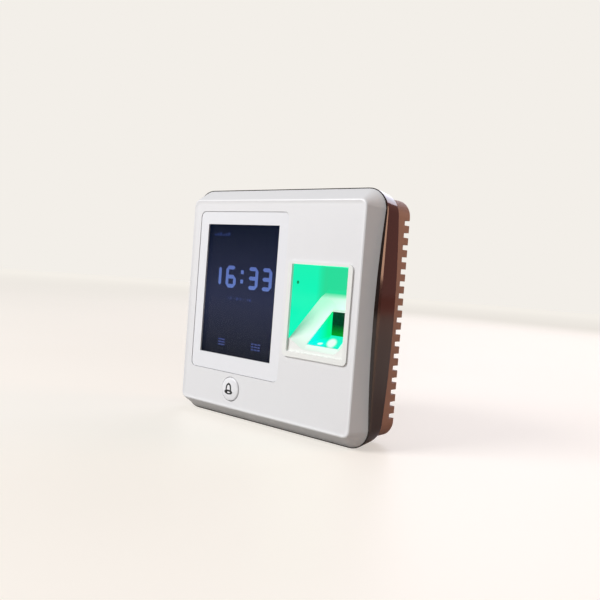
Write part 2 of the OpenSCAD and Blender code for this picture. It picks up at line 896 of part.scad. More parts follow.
// ---------- finger well and sensor ----------

module finger_rest() {
    frame_w = well_w + 2 * well_frame_side;
    frame_h = well_h + well_frame_top + well_frame_bottom;
    color(white) difference() {
        union() {
            translate([well_right, well_up + (well_frame_top - well_frame_bottom) / 2, 0])
                slab(frame_w / 2, frame_h / 2, well_frame_r, panel_h, body_d - frame_top_d);
            difference() {
                well_opening(liner_t, body_d - ledge_d, panel_h + eps);
                well_opening(0, 0, reach);
            }
            across(well_left_x - liner_t, well_right_x + liner_t) polygon(rest_side());
        }
        well_opening(0, body_d - ledge_d, reach);
        well_air();
        prism_shape(glass_gap, past);
    }
}

module well_liner() {
    color(glow) difference() {
        across(well_left_x - liner_t, well_right_x + liner_t) polygon(liner_side());
        well_air();
    }
}

module sensor_prism() {
    color("aquamarine") prism_shape(0, eps);
}

module prism_holder() {
    under_d = (holder_low_y - rest_under(0)) / rest_slope + seat_gap;
    color(black) difference() {
        across(glass_x - holder_x, glass_x + holder_x)
            polygon([[under_d, holder_low_y], [holder_back_d, holder_low_y],
                     [holder_back_d, rest_under(holder_back_d) - seat_gap]]);
        prism_shape(glass_gap, past);
        translate([glass_x - glass_w / 2, prism_low_y, body_d - holder_in_d])
            cube([glass_w, glass_w, absorber_t + past]);
        at_leds() translate([0, 0, holder_low_y - past])
            cylinder(r = led_hole_r, h = holder_t + 2 * past);
        post(glass_x, lens_y, lens_hole_r, 0, body_d - holder_in_d + past);
    }
}

module absorber_plate() {
    color(black) difference() {
        block(glass_x, (absorber_low_y + absorber_high_y) / 2, glass_w - 2 * absorber_gap,
              absorber_high_y - absorber_low_y,
              body_d - holder_in_d + film_gap, body_d - holder_in_d + absorber_t);
        post(glass_x, lens_y, lens_nose_r - lens_hole_in, 0, reach);
    }
}

module sensor_leds() {
    led_top_y = prism_low_y - glass_gap - seat_gap;
    color("lime") at_leds() {
        translate([0, 0, led_board_y + led_board_t]) cylinder(r = led_rim_r, h = led_rim_t);
        translate([0, 0, led_board_y + led_board_t])
            cylinder(r = led_r, h = led_top_y - led_board_y - led_board_t);
    }
}

module led_board() {
    color(board_green) translate([glass_x - holder_x, led_board_y, body_d - holder_back_d])
        cube([2 * holder_x, led_board_t, holder_back_d - led_near + led_rim_r + past]);
}

module imager_lens() {
    low = body_d - imager_top_d;
    color(black) translate([glass_x, lens_y, 0]) difference() {
        union() {
            post(0, 0, lens_r, low, low + lens_len);
            post(0, 0, lens_nose_r, low, body_d - holder_in_d - seat_gap);
        }
        post(0, 0, lens_nose_r - lens_wall, low + lens_len, reach);
    }
}

module imager_board() {
    color(board_green) block(glass_x, lens_y, imager_w, imager_l, body_d - imager_top_d - imager_t,
                             body_d - imager_top_d);
}

// flat cable from the imager, round the side of the well, to the back of the main board
module sensor_cable() {
    r = sensor_ribbon_r;
    mid = r + ribbon_t / 2;
    start_x = glass_x - imager_w / 2 - ribbon_start;
    low = body_d - imager_top_d;
    rise_x = main_right + rise_gap;
    high = main_h - ribbon_plug_t - ribbon_t;
    color("ivory") {
        block(start_x + ribbon_plug_l / 2, lens_y, ribbon_plug_l, sensor_ribbon_w,
              low, low + ribbon_plug_t);
        block((start_x + rise_x + mid) / 2, lens_y, start_x - rise_x - mid, sensor_film_w,
              low, low + ribbon_t);
        translate([rise_x + mid, lens_y + (sensor_film_w) / 2, low + mid + ribbon_t / 2])
            rotate([90, 0, 0]) quarter_band(r, sensor_film_w, 180);
        block(rise_x, lens_y, ribbon_t, sensor_film_w, low + mid + ribbon_t / 2, high - r);
        translate([rise_x - mid, lens_y + (sensor_film_w) / 2, high - mid + ribbon_t / 2])
            rotate([90, 0, 0]) quarter_band(r, sensor_film_w, 0);
        block(rise_x - mid - ribbon_tail / 2, lens_y, ribbon_tail, sensor_film_w, high, high + ribbon_t);
        block(rise_x - mid - ribbon_tail, lens_y, ribbon_plug_l, sensor_ribbon_w, high, main_h);
    }
}

// quarter of a bent ribbon: inside radius r, pulled along z, starting at angle a
module quarter_band(r, w, a) {
    rotate(a) linear_extrude(w) intersection() {
        difference() {
            circle(r + ribbon_t);
            circle(r);
        }
        square(r + ribbon_t + eps);
    }
}

// flat cable that folds back between the display board and the main board
module display_cable() {
    low = main_h + board_t;
    high = display_h;
    r = (high - low) / 2 - ribbon_plug_t - ribbon_t;
    color("ivory") translate([ribbon_x, ribbon_y, 0]) {
        for (h = [low, high - ribbon_plug_t])
            block(0, -past, ribbon_w + 2 * past, ribbon_plug_l, h, h + ribbon_plug_t);
        for (h = [low + ribbon_plug_t, high - ribbon_plug_t - ribbon_t])
            block(0, ribbon_run / 2 - 2, ribbon_w, ribbon_run + 2, h, h + ribbon_t);
        translate([-ribbon_w / 2, ribbon_run - past - eps, (low + high) / 2]) rotate([90, 0, 90]) {
            quarter_band(r, ribbon_w, 0);
            quarter_band(r, ribbon_w, -90);
        }
    }
}

// ---------- main board ----------

module main_board() {
    color(board_green) difference() {
        translate([main_left, main_low, main_h]) cube([main_right - main_left, main_top - main_low, board_t]);
        at_main_posts() post(0, 0, main_clear_r, 0, reach);
    }
}

module board_screws() {
    top = main_h + board_t;
    color(steel) at_main_posts() difference() {
        union() {
            post(0, 0, main_head_r, top, top + main_head_t);
            post(0, 0, main_shank_r, top - main_screw_len, top + eps);
        }
        translate([0, 0, top + main_head_t]) mirror([0, 0, 1]) cross_recess(main_head_r);
    }
}

module processor_shield() {
    color(steel)
        block(shield_x, shield_y, shield_w, shield_w, main_h + board_t, main_h + board_t + shield_t);
}

module relay() {
    color("royalblue") block(relay_x, relay_y, relay_w, relay_l, relay_low_h, main_h);
}

module wiring_terminals() {
    first = -(term_ways - 1) / 2;
    color("forestgreen") for (x = term_x) difference() {
        block(x, 0, term_w, term_l, term_low_h, main_h);
        for (i = [0:term_ways - 1]) {
            post(x - term_wire_x, (first + i) * term_pitch, term_hole_r, 0, term_low_h + term_hole_d);
            post(x + term_screw_x, (first + i) * term_pitch, term_hole_r, 0, term_low_h + term_screw_d);
        }
    }
}

module network_jack() {
    color(steel) difference() {
        block(jack_x, 0, jack_w, jack_l, jack_low_h, main_h);
        block(jack_x, 0, jack_mouth_w, jack_mouth_l, 0, jack_low_h + jack_mouth_d);
        block(jack_x, jack_mouth_l / 2 + jack_notch_l / 2, jack_notch_w, jack_notch_l + eps, 0,
              jack_low_h + jack_mouth_d);
    }
}

module clock_battery() {
    color(steel) post(cell_x, cell_y, cell_r, main_h - holder_rim - cell_t, main_h - holder_rim);
}

module battery_holder() {
    color(black) difference() {
        block(cell_x, cell_y, 2 * (cell_r + holder_wall), 2 * (cell_r + holder_lip),
              main_h - holder_rim - cell_t, main_h);
        post(cell_x, cell_y, cell_r + seat_gap, 0, main_h - holder_rim);
    }
}

// small speaker that lies against the bottom wall, behind its slots
module speaker() {
    y = -housing_y + housing_t + speaker_t / 2;
    color(black) difference() {
        block(speaker_x, y, speaker_w, speaker_t, speaker_mid_h - speaker_h / 2, speaker_mid_h + speaker_h / 2);
        block(speaker_x, y - speaker_t / 2, speaker_w - 2 * speaker_rim, 2 * speaker_dish,
              speaker_mid_h - speaker_h / 2 + speaker_rim, speaker_mid_h + speaker_h / 2 - speaker_rim);
    }
}

module tamper_switch() {
    color(black) difference() {
        block(tamper_x, tamper_y, tamper_w, tamper_w, main_h - tamper_t, main_h);
        post(tamper_x, tamper_y, pin_r + pin_gap, 0, main_h - tamper_t + pin_in + tamper_travel + pin_gap);
    }
}

// long pin that the wall plate holds down
module tamper_plunger() {
    color("ivory") post(tamper_x, tamper_y, pin_r, plate_t + pin_rest, main_h - tamper_t + pin_in);
}

stand() front_cover();
stand() mid_frame();
stand() rear_housing();
stand() wall_plate();
stand() plate_lock_screw();
stand() case_screws();
stand() screen_bezel();
stand() bezel_gasket();
stand() touch_panel();
stand() lcd_panel();
stand() backlight();
stand() lcd_frame();
stand() display_board();
stand() display_screws();
stand() bell_button();
stand() bell_switch();
stand() bell_switch_stem();
stand() finger_rest();
stand() well_liner();
stand() sensor_prism();
stand() prism_holder();
stand() absorber_plate();
stand() sensor_leds();
stand() led_board();
stand() imager_lens();
stand() imager_board();
stand() sensor_cable();
stand() display_cable();
stand() main_board();
stand() board_screws();
stand() processor_shield();
stand() relay();
stand() wiring_terminals();
stand() network_jack();
stand() clock_battery();
stand() battery_holder();
stand() speaker();
stand() tamper_switch();
stand() tamper_plunger();
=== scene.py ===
"""A wall terminal with a touch screen, a lit finger well and a bell key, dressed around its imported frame."""
import math

import bmesh
import bpy
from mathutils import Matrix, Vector


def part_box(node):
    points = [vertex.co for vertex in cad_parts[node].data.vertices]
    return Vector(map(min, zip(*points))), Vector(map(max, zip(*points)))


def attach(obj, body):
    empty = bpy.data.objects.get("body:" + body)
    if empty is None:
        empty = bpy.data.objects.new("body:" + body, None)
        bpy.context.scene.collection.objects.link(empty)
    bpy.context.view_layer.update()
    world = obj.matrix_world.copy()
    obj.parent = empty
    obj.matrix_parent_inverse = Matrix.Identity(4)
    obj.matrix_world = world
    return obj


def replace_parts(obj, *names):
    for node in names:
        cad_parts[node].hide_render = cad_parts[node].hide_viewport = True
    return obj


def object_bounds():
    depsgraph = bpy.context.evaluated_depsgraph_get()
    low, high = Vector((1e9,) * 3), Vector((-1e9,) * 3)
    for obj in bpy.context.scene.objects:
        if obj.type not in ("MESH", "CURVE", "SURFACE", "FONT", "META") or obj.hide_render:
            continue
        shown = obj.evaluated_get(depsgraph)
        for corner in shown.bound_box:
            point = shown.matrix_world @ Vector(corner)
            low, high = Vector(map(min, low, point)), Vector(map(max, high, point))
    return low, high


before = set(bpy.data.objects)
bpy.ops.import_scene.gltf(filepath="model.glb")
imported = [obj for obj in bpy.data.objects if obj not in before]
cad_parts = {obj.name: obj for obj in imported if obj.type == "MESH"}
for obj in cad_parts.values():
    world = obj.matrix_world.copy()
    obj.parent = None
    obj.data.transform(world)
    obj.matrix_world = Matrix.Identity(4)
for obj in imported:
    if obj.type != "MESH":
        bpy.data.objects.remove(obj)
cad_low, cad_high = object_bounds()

# ---------------------------------------------------------------- camera
# A long lens a little below the height of the screen, turned 40 degrees towards the right side.
# The camera is rolled, so that the terminal seems to lean back a little on its lower edge.

MM = 0.001
CAMERA_SPOT = Vector((254.1, -308.6, 20.5)) * MM
CAMERA_AIM = Vector((-0.6436, 0.7643, -0.0397))
CAMERA_TOP = Vector((-0.0844, -0.0193, 0.9962))
LENS_MM = 42.45


def add_camera():
    camera = bpy.data.objects.new("camera", bpy.data.cameras.new("camera"))
    bpy.context.collection.objects.link(camera)
    camera.data.lens = LENS_MM
    camera.data.sensor_width = 36
    camera.data.clip_start = 0.01
    side = CAMERA_AIM.cross(CAMERA_TOP).normalized()
    top = side.cross(CAMERA_AIM).normalized()
    turn = camera.matrix_world.to_3x3()
    turn.col[0] = side
    turn.col[1] = top
    turn.col[2] = -CAMERA_AIM.normalized()
    camera.matrix_world = turn.to_4x4()
    camera.location = CAMERA_SPOT
    bpy.context.scene.camera = camera


add_camera()

# ---------------------------------------------------------------- floor and light
# A wide pale table that fades into the backdrop. A large soft box stands in front and to the left.
# Behind, a warm one and an orange card light the dark frame's side, and a cool one the back.


def tint(code):
    """Linear colour of an sRGB hex value such as #80594a."""
    parts = [int(code[i:i + 2], 16) / 255 for i in (1, 3, 5)]
    return tuple(c / 12.92 if c <= 0.04045 else ((c + 0.055) / 1.055) ** 2.4 for c in parts) + (1,)


def per_metre(size_mm):
    """Pattern scale at which one cell of the pattern is size_mm wide."""
    return 1 / (size_mm * MM)


def add(tree, kind, settings=None, links=None, **choices):
    """Adds one node: settings fill its sockets, links join other nodes' outputs to them."""
    made = tree.nodes.new(kind)
    for key, value in choices.items():
        setattr(made, key, value)
    for key, value in (settings or {}).items():
        made.inputs[key].default_value = value
    for key, output in (links or {}).items():
        tree.links.new(output, made.inputs[key])
    return made


def start(name, **shader):
    """New material with one Principled shader, set to these values, and its object coordinates."""
    made = bpy.data.materials.new(name)
    made.use_nodes = True
    tree = made.node_tree
    finish = tree.nodes["Principled BSDF"]
    for key, value in shader.items():
        finish.inputs[key.replace("_", " ")].default_value = value
    place = add(tree, "ShaderNodeTexCoord").outputs["Object"]
    return made, tree, finish, place


BACKDROP_TINT = "#f3efe9"
FLOOR_TINT = "#b6b2ac"
FLOOR_STAIN = "#b1aca5"
FLOOR_HALF = 3.0
ROOM_GLOW = 0.2
GLOW_NEAR = "#c0bdb8"
GLOW_FAR = "#e6e2db"


def table_paint():
    """Sprayed table paint, matt: faint clouding, paler towards the backdrop."""
    made, tree, finish, place = start("sprayed table paint", Roughness=0.5, IOR=1.45)
    cloud = add(tree, "ShaderNodeTexNoise", {"Scale": per_metre(240), "Detail": 3}, {"Vector": place})
    colour = add(tree, "ShaderNodeMix", {6: tint(FLOOR_TINT), 7: tint(FLOOR_STAIN)},
                 {0: cloud.outputs["Fac"]}, data_type="RGBA")
    tree.links.new(colour.outputs[2], finish.inputs["Base Color"])
    away = add(tree, "ShaderNodeVectorMath", links={0: place}, operation="LENGTH").outputs["Value"]
    share = add(tree, "ShaderNodeMapRange", {"From Min": 0.3, "From Max": 2.4}, {"Value": away})
    haze = add(tree, "ShaderNodeMix", {6: tint(GLOW_NEAR), 7: tint(GLOW_FAR)},
               {0: share.outputs["Result"]}, data_type="RGBA")
    seen = add(tree, "ShaderNodeLightPath").outputs["Is Camera Ray"]
    shown = add(tree, "ShaderNodeMix", {6: tint("#000000")}, {0: seen, 7: haze.outputs[2]}, data_type="RGBA")
    tree.links.new(shown.outputs[2], finish.inputs["Emission Color"])
    finish.inputs["Emission Strength"].default_value = 1.0
    return made


def add_floor():
    shape = bmesh.new()
    bmesh.ops.create_circle(shape, cap_ends=True, segments=64, radius=FLOOR_HALF)
    mesh = bpy.data.meshes.new("floor")
    shape.to_mesh(mesh)
    shape.free()
    mesh.materials.append(table_paint())
    floor = bpy.data.objects.new("floor", mesh)
    floor.location = (0, 0, cad_low.z - 0.05 * MM)
    bpy.context.collection.objects.link(floor)


def soft_box(name, spot, aim, width, height, power, colour):
    lamp = bpy.data.lights.new(name, "AREA")
    lamp.shape = "RECTANGLE"
    lamp.size = width
    lamp.size_y = height
    lamp.energy = power
    lamp.color = tint(colour)[:3]
    box = bpy.data.objects.new(name, lamp)
    box.location = spot
    box.rotation_mode = "QUATERNION"
    box.rotation_quaternion = (Vector(aim) - Vector(spot)).to_track_quat("-Z", "Y")
    bpy.context.collection.objects.link(box)


def add_light():
    middle = (cad_low + cad_high) / 2
    soft_box("key_light", (-0.51, -1.05, 0.77), middle, 0.7, 0.7, 18.5, "#ffffff")
    soft_box("side_light", (0.93, 0.93, 0.4), middle, 0.6, 0.8, 7.0, "#ffc9a8")
    soft_box("warm_card", (0.45, 1.15, 0.25), middle, 0.8, 1.0, 0.9, "#ff5c2c")
    soft_box("back_light", (-0.25, 1.1, 0.62), middle, 0.9, 0.7, 5.5, "#f2efff")
    world = bpy.data.worlds.new("studio")
    world.use_nodes = True
    tree = world.node_tree
    air = tree.nodes["Background"]
    air.inputs["Color"].default_value = tint("#f8f4f2")
    air.inputs["Strength"].default_value = ROOM_GLOW
    backdrop = add(tree, "ShaderNodeBackground", {"Color": tint(BACKDROP_TINT), "Strength": 1.0})
    seen = add(tree, "ShaderNodeLightPath").outputs["Is Camera Ray"]
    both = add(tree, "ShaderNodeMixShader", links={0: seen, 1: air.outputs[0], 2: backdrop.outputs[0]})
    tree.links.new(both.outputs[0], tree.nodes["World Output"].inputs["Surface"])
    bpy.context.scene.world = world
    bpy.context.scene.view_settings.view_transform = "Standard"


add_floor()
add_light()

# ---------------------------------------------------------------- rear housing
# Shell that carries the boards. Injection-moulded ABS in a matt taupe with a fine spark-eroded
# texture on the outside, and vent slots round both back edges. Four screws hold it to the cover.
# Its warm cast is partly painted warm light.

# The warm cast of both tints is partly painted warm light, added to that of the warm lamps behind.
HOUSING_TINT = "#9d7969"
HOUSING_LOW = "#8d6c5e"
SPARK_MM = 0.35        # real grain is about 0.15 mm; drawn coarser, so that it shows
SPARK_DEPTH_MM = 0.02


def copy_shape(node):
    """The node's mesh as a bmesh, with doubled points joined and flat faces made whole."""
    shape = bmesh.new()
    shape.from_mesh(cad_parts[node].data)
    bmesh.ops.remove_doubles(shape, verts=shape.verts, dist=0.002 * MM)
    bmesh.ops.dissolve_limit(shape, angle_limit=math.radians(0.6), verts=shape.verts, edges=shape.edges)
    return shape


def add_piece(name, shape, material, body="case", smooth_angle=35):
    """Turns a bmesh into a piece in material that rides on body."""
    mesh = bpy.data.meshes.new(name)
    shape.to_mesh(mesh)
    shape.free()
    mesh.materials.clear()
    mesh.materials.append(material)
    mesh.shade_smooth()
    mesh.set_sharp_from_angle(angle=math.radians(smooth_angle))
    piece = bpy.data.objects.new(name, mesh)
    bpy.context.collection.objects.link(piece)
    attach(piece, body)
    return piece


def bake_modifiers(piece):
    """Puts the result of the piece's modifiers into its mesh."""
    seen = piece.evaluated_get(bpy.context.evaluated_depsgraph_get())
    made = bpy.data.meshes.new_from_object(seen)
    piece.modifiers.clear()
    piece.data = made


def soften(node, name, material, edge_mm, body="case", steps=2, from_angle=38, clamp=True):
    """A piece in the node's shape with rounded edges, which stands for that node."""
    piece = add_piece(name, copy_shape(node), material, body)
    bevel = piece.modifiers.new("edges", "BEVEL")
    bevel.width = edge_mm * MM
    bevel.segments = steps
    bevel.limit_method = "ANGLE"
    bevel.angle_limit = math.radians(from_angle)
    bevel.use_clamp_overlap = clamp
    bevel.miter_outer = "MITER_ARC"
    flow = piece.modifiers.new("flow", "WEIGHTED_NORMAL")
    flow.keep_sharp = True
    bake_modifiers(piece)
    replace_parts(piece, node)
    return piece


def moulded(name, light, dark, roughness, cloud_mm, grain_mm, grain_depth_mm, ior=1.53, bump=0.5):
    """Injection-moulded plastic: slow change between two tints, and an even eroded grain."""
    made, tree, finish, place = start(name, Roughness=roughness, IOR=ior)
    cloud = add(tree, "ShaderNodeTexNoise", {"Scale": per_metre(cloud_mm), "Detail": 4}, {"Vector": place})
    colour = add(tree, "ShaderNodeMix", {6: tint(light), 7: tint(dark)}, {0: cloud.outputs["Fac"]},
                 data_type="RGBA")
    tree.links.new(colour.outputs[2], finish.inputs["Base Color"])
    grain = add(tree, "ShaderNodeTexNoise", {"Scale": per_metre(grain_mm), "Detail": 2}, {"Vector": place})
    rough = add(tree, "ShaderNodeMapRange", {"To Min": roughness - 0.05, "To Max": roughness + 0.07},
                {"Value": grain.outputs["Fac"]})
    tree.links.new(rough.outputs["Result"], finish.inputs["Roughness"])
    relief = add(tree, "ShaderNodeBump", {"Strength": bump, "Distance": grain_depth_mm * MM},
                 {"Height": grain.outputs["Fac"]})
    tree.links.new(relief.outputs["Normal"], finish.inputs["Normal"])
    return made


# ABS, injection moulded in an eroded tool: matt, with a sandy grain that breaks up highlights
painted_warm_taupe_abs = moulded("moulded taupe ABS with painted warm light", HOUSING_TINT, HOUSING_LOW, 0.55, 45, SPARK_MM, SPARK_DEPTH_MM)
soften("rear_housing", "rear_shell", painted_warm_taupe_abs, 0.35)

# ---------------------------------------------------------------- wall plate
# Pressed from 1.5 mm galvanised steel, with four hooks and a locking tongue bent out of it.
# It is screwed to the wall first, and the terminal then hangs on its hooks.

SPANGLE_MM = 4
ZINC_LIGHT = "#c3c7ca"
ZINC_DARK = "#a6abb0"


def galvanised():
    """Hot-dip galvanised sheet: zinc crystals of different greys, with soft mixed gloss."""
    made, tree, finish, place = start("galvanised sheet steel", Metallic=1, Roughness=0.38)
    crystal = add(tree, "ShaderNodeTexVoronoi", {"Scale": per_metre(SPANGLE_MM)}, {"Vector": place})
    shade = add(tree, "ShaderNodeSeparateColor", links={"Color": crystal.outputs["Color"]})
    colour = add(tree, "ShaderNodeMix", {6: tint(ZINC_LIGHT), 7: tint(ZINC_DARK)},
                 {0: shade.outputs["Red"]}, data_type="RGBA")
    tree.links.new(colour.outputs[2], finish.inputs["Base Color"])
    rough = add(tree, "ShaderNodeMapRange", {"To Min": 0.3, "To Max": 0.5}, {"Value": shade.outputs["Green"]})
    tree.links.new(rough.outputs["Result"], finish.inputs["Roughness"])
    return made


zinc_sheet = galvanised()
soften("wall_plate", "hook_plate", zinc_sheet, 0.2)

# ---------------------------------------------------------------- screws
# Case, board and display screws of zinc-plated steel with a cross recess, and the socket screw
# that locks the terminal to its plate from below.


def plated_steel():
    """Bright zinc-plated steel: blue-grey and fairly glossy, with fine rolling marks."""
    made, tree, finish, place = start("zinc-plated screw steel", Metallic=1, Roughness=0.28)
    marks = add(tree, "ShaderNodeTexNoise", {"Scale": per_metre(0.8), "Detail": 3}, {"Vector": place})
    colour = add(tree, "ShaderNodeMix", {6: tint("#b9bec4"), 7: tint("#8d9399")},
                 {0: marks.outputs["Fac"]}, data_type="RGBA")
    tree.links.new(colour.outputs[2], finish.inputs["Base Color"])
    rough = add(tree, "ShaderNodeMapRange", {"To Min": 0.2, "To Max": 0.42}, {"Value": marks.outputs["Fac"]})
    tree.links.new(rough.outputs["Result"], finish.inputs["Roughness"])
    return made


def dress(material, *nodes):
    """Gives CAD nodes that keep their shape a finish."""
    for node in nodes:
        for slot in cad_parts[node].material_slots:
            slot.material = material


screw_steel = plated_steel()
soften("case_screws", "case_screw_set", screw_steel, 0.15)
soften("plate_lock_screw", "lock_screw", screw_steel, 0.15)
dress(screw_steel, "display_screws", "board_screws")

# ---------------------------------------------------------------- middle frame
# Dark ring between the white cover and the housing. Moulded in ABS in a polished tool, so it is
# as glossy as piano lacquer, and it tapers towards the wall.

# The brown in both tints is painted warm reflection; the plastic itself is near black.
FRAME_TINT = "#200d07"
FRAME_DEEP = "#1a0e0b"


def polished_abs():
    """ABS from a mirror-polished tool: near black, with a brown cast that is painted warm reflection; sharp
    reflections, a faint long ripple.
    """
    made, tree, finish, place = start("polished near-black ABS with painted warm cast", Roughness=0.08, IOR=1.54)
    cloud = add(tree, "ShaderNodeTexNoise", {"Scale": per_metre(60), "Detail": 2}, {"Vector": place})
    colour = add(tree, "ShaderNodeMix", {6: tint(FRAME_TINT), 7: tint(FRAME_DEEP)},
                 {0: cloud.outputs["Fac"]}, data_type="RGBA")
    tree.links.new(colour.outputs[2], finish.inputs["Base Color"])
    ripple = add(tree, "ShaderNodeTexNoise", {"Scale": per_metre(14), "Detail": 1}, {"Vector": place})
    relief = add(tree, "ShaderNodeBump", {"Strength": 0.15, "Distance": 0.05 * MM},
                 {"Height": ripple.outputs["Fac"]})
    tree.links.new(relief.outputs["Normal"], finish.inputs["Normal"])
    return made


soften("mid_frame", "dark_frame", polished_abs(), 0.35)

# ---------------------------------------------------------------- front cover
# White front shell in ABS with a satin finish. A raised bead runs round the face, and the border
# slopes back from it to the dark frame. Bosses inside take the case screws.

WHITE_TINT = "#ececee"
WHITE_SHADE = "#e6e6e9"

# ABS, injection moulded in a finely blasted tool: even satin white, with a very fine grain
white_abs = moulded("satin white ABS", WHITE_TINT, WHITE_SHADE, 0.34, 55, 0.5, 0.006, bump=0.35)
soften("front_cover", "white_cover", white_abs, 0.45, from_angle=24)

# ---------------------------------------------------------------- screen
# A 3.5-inch display behind a resistive touch panel, in a glossy white bezel that snaps into the
# cover. The clock is drawn by the display itself, as lit segments on dark blue.

# ABS with a clear lacquer, moulded in a polished tool: brighter and glossier than the cover
bezel_abs = moulded("gloss white ABS", "#eff0f4", "#eaebf0", 0.2, 40, 0.6, 0.004, bump=0.3)
soften("screen_bezel", "white_bezel", bezel_abs, 0.45)


def closed_foam():
    """Die-cut closed-cell foam: black, dull, with pin-prick cells."""
    made, tree, finish, place = start("die-cut black foam", Roughness=0.9, IOR=1.4)
    cells = add(tree, "ShaderNodeTexVoronoi", {"Scale": per_metre(0.5)}, {"Vector": place})
    colour = add(tree, "ShaderNodeMix", {6: tint("#141415"), 7: tint("#26262a")},
                 {0: cells.outputs["Distance"]}, data_type="RGBA")
    tree.links.new(colour.outputs[2], finish.inputs["Base Color"])
    relief = add(tree, "ShaderNodeBump", {"Strength": 0.6, "Distance": 0.05 * MM},
                 {"Height": cells.outputs["Distance"]})
    tree.links.new(relief.outputs["Normal"], finish.inputs["Normal"])
    return made


def touch_glass():
    """Float glass with an anti-glare etch: clear, with soft-edged reflections.

    Its index is far below glass's 1.52, and stands for the anti-reflection coating."""
    made, tree, finish, place = start("anti-glare float glass", Transmission_Weight=1, IOR=1.12,
                                      Base_Color=tint("#f2f6ff"))
    smear = add(tree, "ShaderNodeTexNoise", {"Scale": per_metre(18), "Detail": 4}, {"Vector": place})
    rough = add(tree, "ShaderNodeMapRange", {"To Min": 0.03, "To Max": 0.1}, {"Value": smear.outputs["Fac"]})
    tree.links.new(rough.outputs["Result"], finish.inputs["Roughness"])
    return made


SCREEN_TOP = "#081122"
SCREEN_MIDDLE = "#2c3046"
SCREEN_LOW = "#14171f"
lcd_low, lcd_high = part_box("lcd_panel")


def along_axis(tree, place, axis, low, high):
    """0 where the coordinate is low and 1 where it is high."""
    value = add(tree, "ShaderNodeSeparateXYZ", links={"Vector": place}).outputs[axis]
    return add(tree, "ShaderNodeMapRange", {"From Min": low, "From Max": high},
               {"Value": value}).outputs["Result"]


def lit_screen():
    """Backlit LCD showing dark blue: hazy in the middle, and darkest at the top."""
    made, tree, finish, place = start("backlit LCD cell", Base_Color=tint("#020204"), Roughness=0.3,
                                      Specular_IOR_Level=0.1, Emission_Strength=1.0)
    middle = (lcd_low.z + lcd_high.z) / 2
    lower = along_axis(tree, place, "Z", lcd_low.z, middle - 4 * MM)
    upper = along_axis(tree, place, "Z", middle, lcd_high.z)
    ground = add(tree, "ShaderNodeMix", {6: tint(SCREEN_LOW), 7: tint(SCREEN_MIDDLE)}, {0: lower},
                 data_type="RGBA")
    sky = add(tree, "ShaderNodeMix", {7: tint(SCREEN_TOP)}, {0: upper, 6: ground.outputs[2]},
              data_type="RGBA")
    tree.links.new(sky.outputs[2], finish.inputs["Emission Color"])
    return made


dress(closed_foam(), "bezel_gasket")
dress(lit_screen(), "lcd_panel")
soften("touch_panel", "touch_glass", touch_glass(), 0.15)

SEGMENT_T_MM = 0.05
lit_face = lcd_low.y


def plate(shape, outline, front, back):
    """Adds a closed plate to the bmesh: the outline's (x, z) points, between two depths."""
    rings = [[shape.verts.new((x, y, z)) for x, z in outline] for y in (front, back)]
    shape.faces.new(rings[0])
    shape.faces.new(rings[1][::-1])
    for i in range(len(outline)):
        j = (i + 1) % len(outline)
        shape.faces.new((rings[0][j], rings[0][i], rings[1][i], rings[1][j]))


def lit_plate(shape, outline):
    plate(shape, outline, lit_face - SEGMENT_T_MM * MM, lit_face - 0.2 * SEGMENT_T_MM * MM)


def bar(shape, start_at, end_at, stroke):
    """A lit segment with pointed ends, from one (x, z) point to another, both in metres."""
    along = (Vector(end_at) - Vector(start_at)).normalized()
    across = Vector((-along.y, along.x))
    a, b, half = Vector(start_at), Vector(end_at), stroke / 2
    lit_plate(shape, [a, a + half * (along + across), b + half * (across - along), b,
                      b - half * (along + across), a + half * (along - across)])


def box_plate(shape, x, z, width, height):
    lit_plate(shape, [(x, z), (x + width, z), (x + width, z + height), (x, z + height)])


# The strokes of each figure: t top, m middle, z low; L and R the full left and right sides;
# a and b their upper halves, c and d their lower halves.
FIGURES = {"0": "tzLR", "1": "R", "2": "tbmcz", "3": "tmzR", "4": "amR", "5": "tamdz", "6": "tmzLd",
           "-": "m"}


def figure(shape, sign, x, z, width, height, stroke):
    """One figure of a clock, with its lower left corner at (x, z)."""
    inset = stroke / 2
    left, right = x + inset, x + width - inset
    low, middle, top = z + inset, z + height / 2, z + height - inset
    runs = {"t": ((left, top), (right, top)), "z": ((left, low), (right, low)),
            "m": ((left, middle), (right, middle)), "a": ((left, middle), (left, top)),
            "b": ((right, middle), (right, top)), "c": ((left, low), (left, middle)),
            "d": ((right, low), (right, middle)), "L": ((left, low), (left, top)),
            "R": ((right, low), (right, top))}
    for segment in FIGURES[sign]:
        bar(shape, *runs[segment], stroke)


def lit_mark(name, bright, dim):
    """Lit liquid crystal: flat blue light, a little brighter towards the bottom."""
    made, tree, finish, place = start(name, Base_Color=tint("#020204"), Roughness=0.3,
                                      Specular_IOR_Level=0.1, Emission_Strength=1.0)
    up = along_axis(tree, place, "Z", lcd_low.z + 25 * MM, lcd_high.z - 12 * MM)
    glow = add(tree, "ShaderNodeMix", {6: tint(bright), 7: tint(dim)}, {0: up}, data_type="RGBA")
    tree.links.new(glow.outputs[2], finish.inputs["Emission Color"])
    return made


CLOCK_Z_MM = 8.7
CLOCK_H_MM = 12.3
CLOCK_W_MM = 8.0
CLOCK_STROKE_MM = 2.1
CLOCK_PLACES_MM = {-45.7: "1", -34.0: "6", -17.2: "3", -7.0: "3"}
COLON_X_MM = -22.4
DATE_X_MM = -32.0
DATE_Z_MM = 2.1
DATE_H_MM = 1.7
DATE_STEP_MM = 2.5


def draw_clock():
    shape = bmesh.new()
    for x, sign in CLOCK_PLACES_MM.items():
        figure(shape, sign, x * MM, CLOCK_Z_MM * MM, CLOCK_W_MM * MM, CLOCK_H_MM * MM, CLOCK_STROKE_MM * MM)
    for share in (0.24, 0.66):
        box_plate(shape, COLON_X_MM * MM, (CLOCK_Z_MM + share * CLOCK_H_MM) * MM,
                  CLOCK_STROKE_MM * MM, CLOCK_STROKE_MM * MM)
    add_piece("clock_figures", shape, lit_mark("lit clock segments", "#6f8bc9", "#5a68aa"))


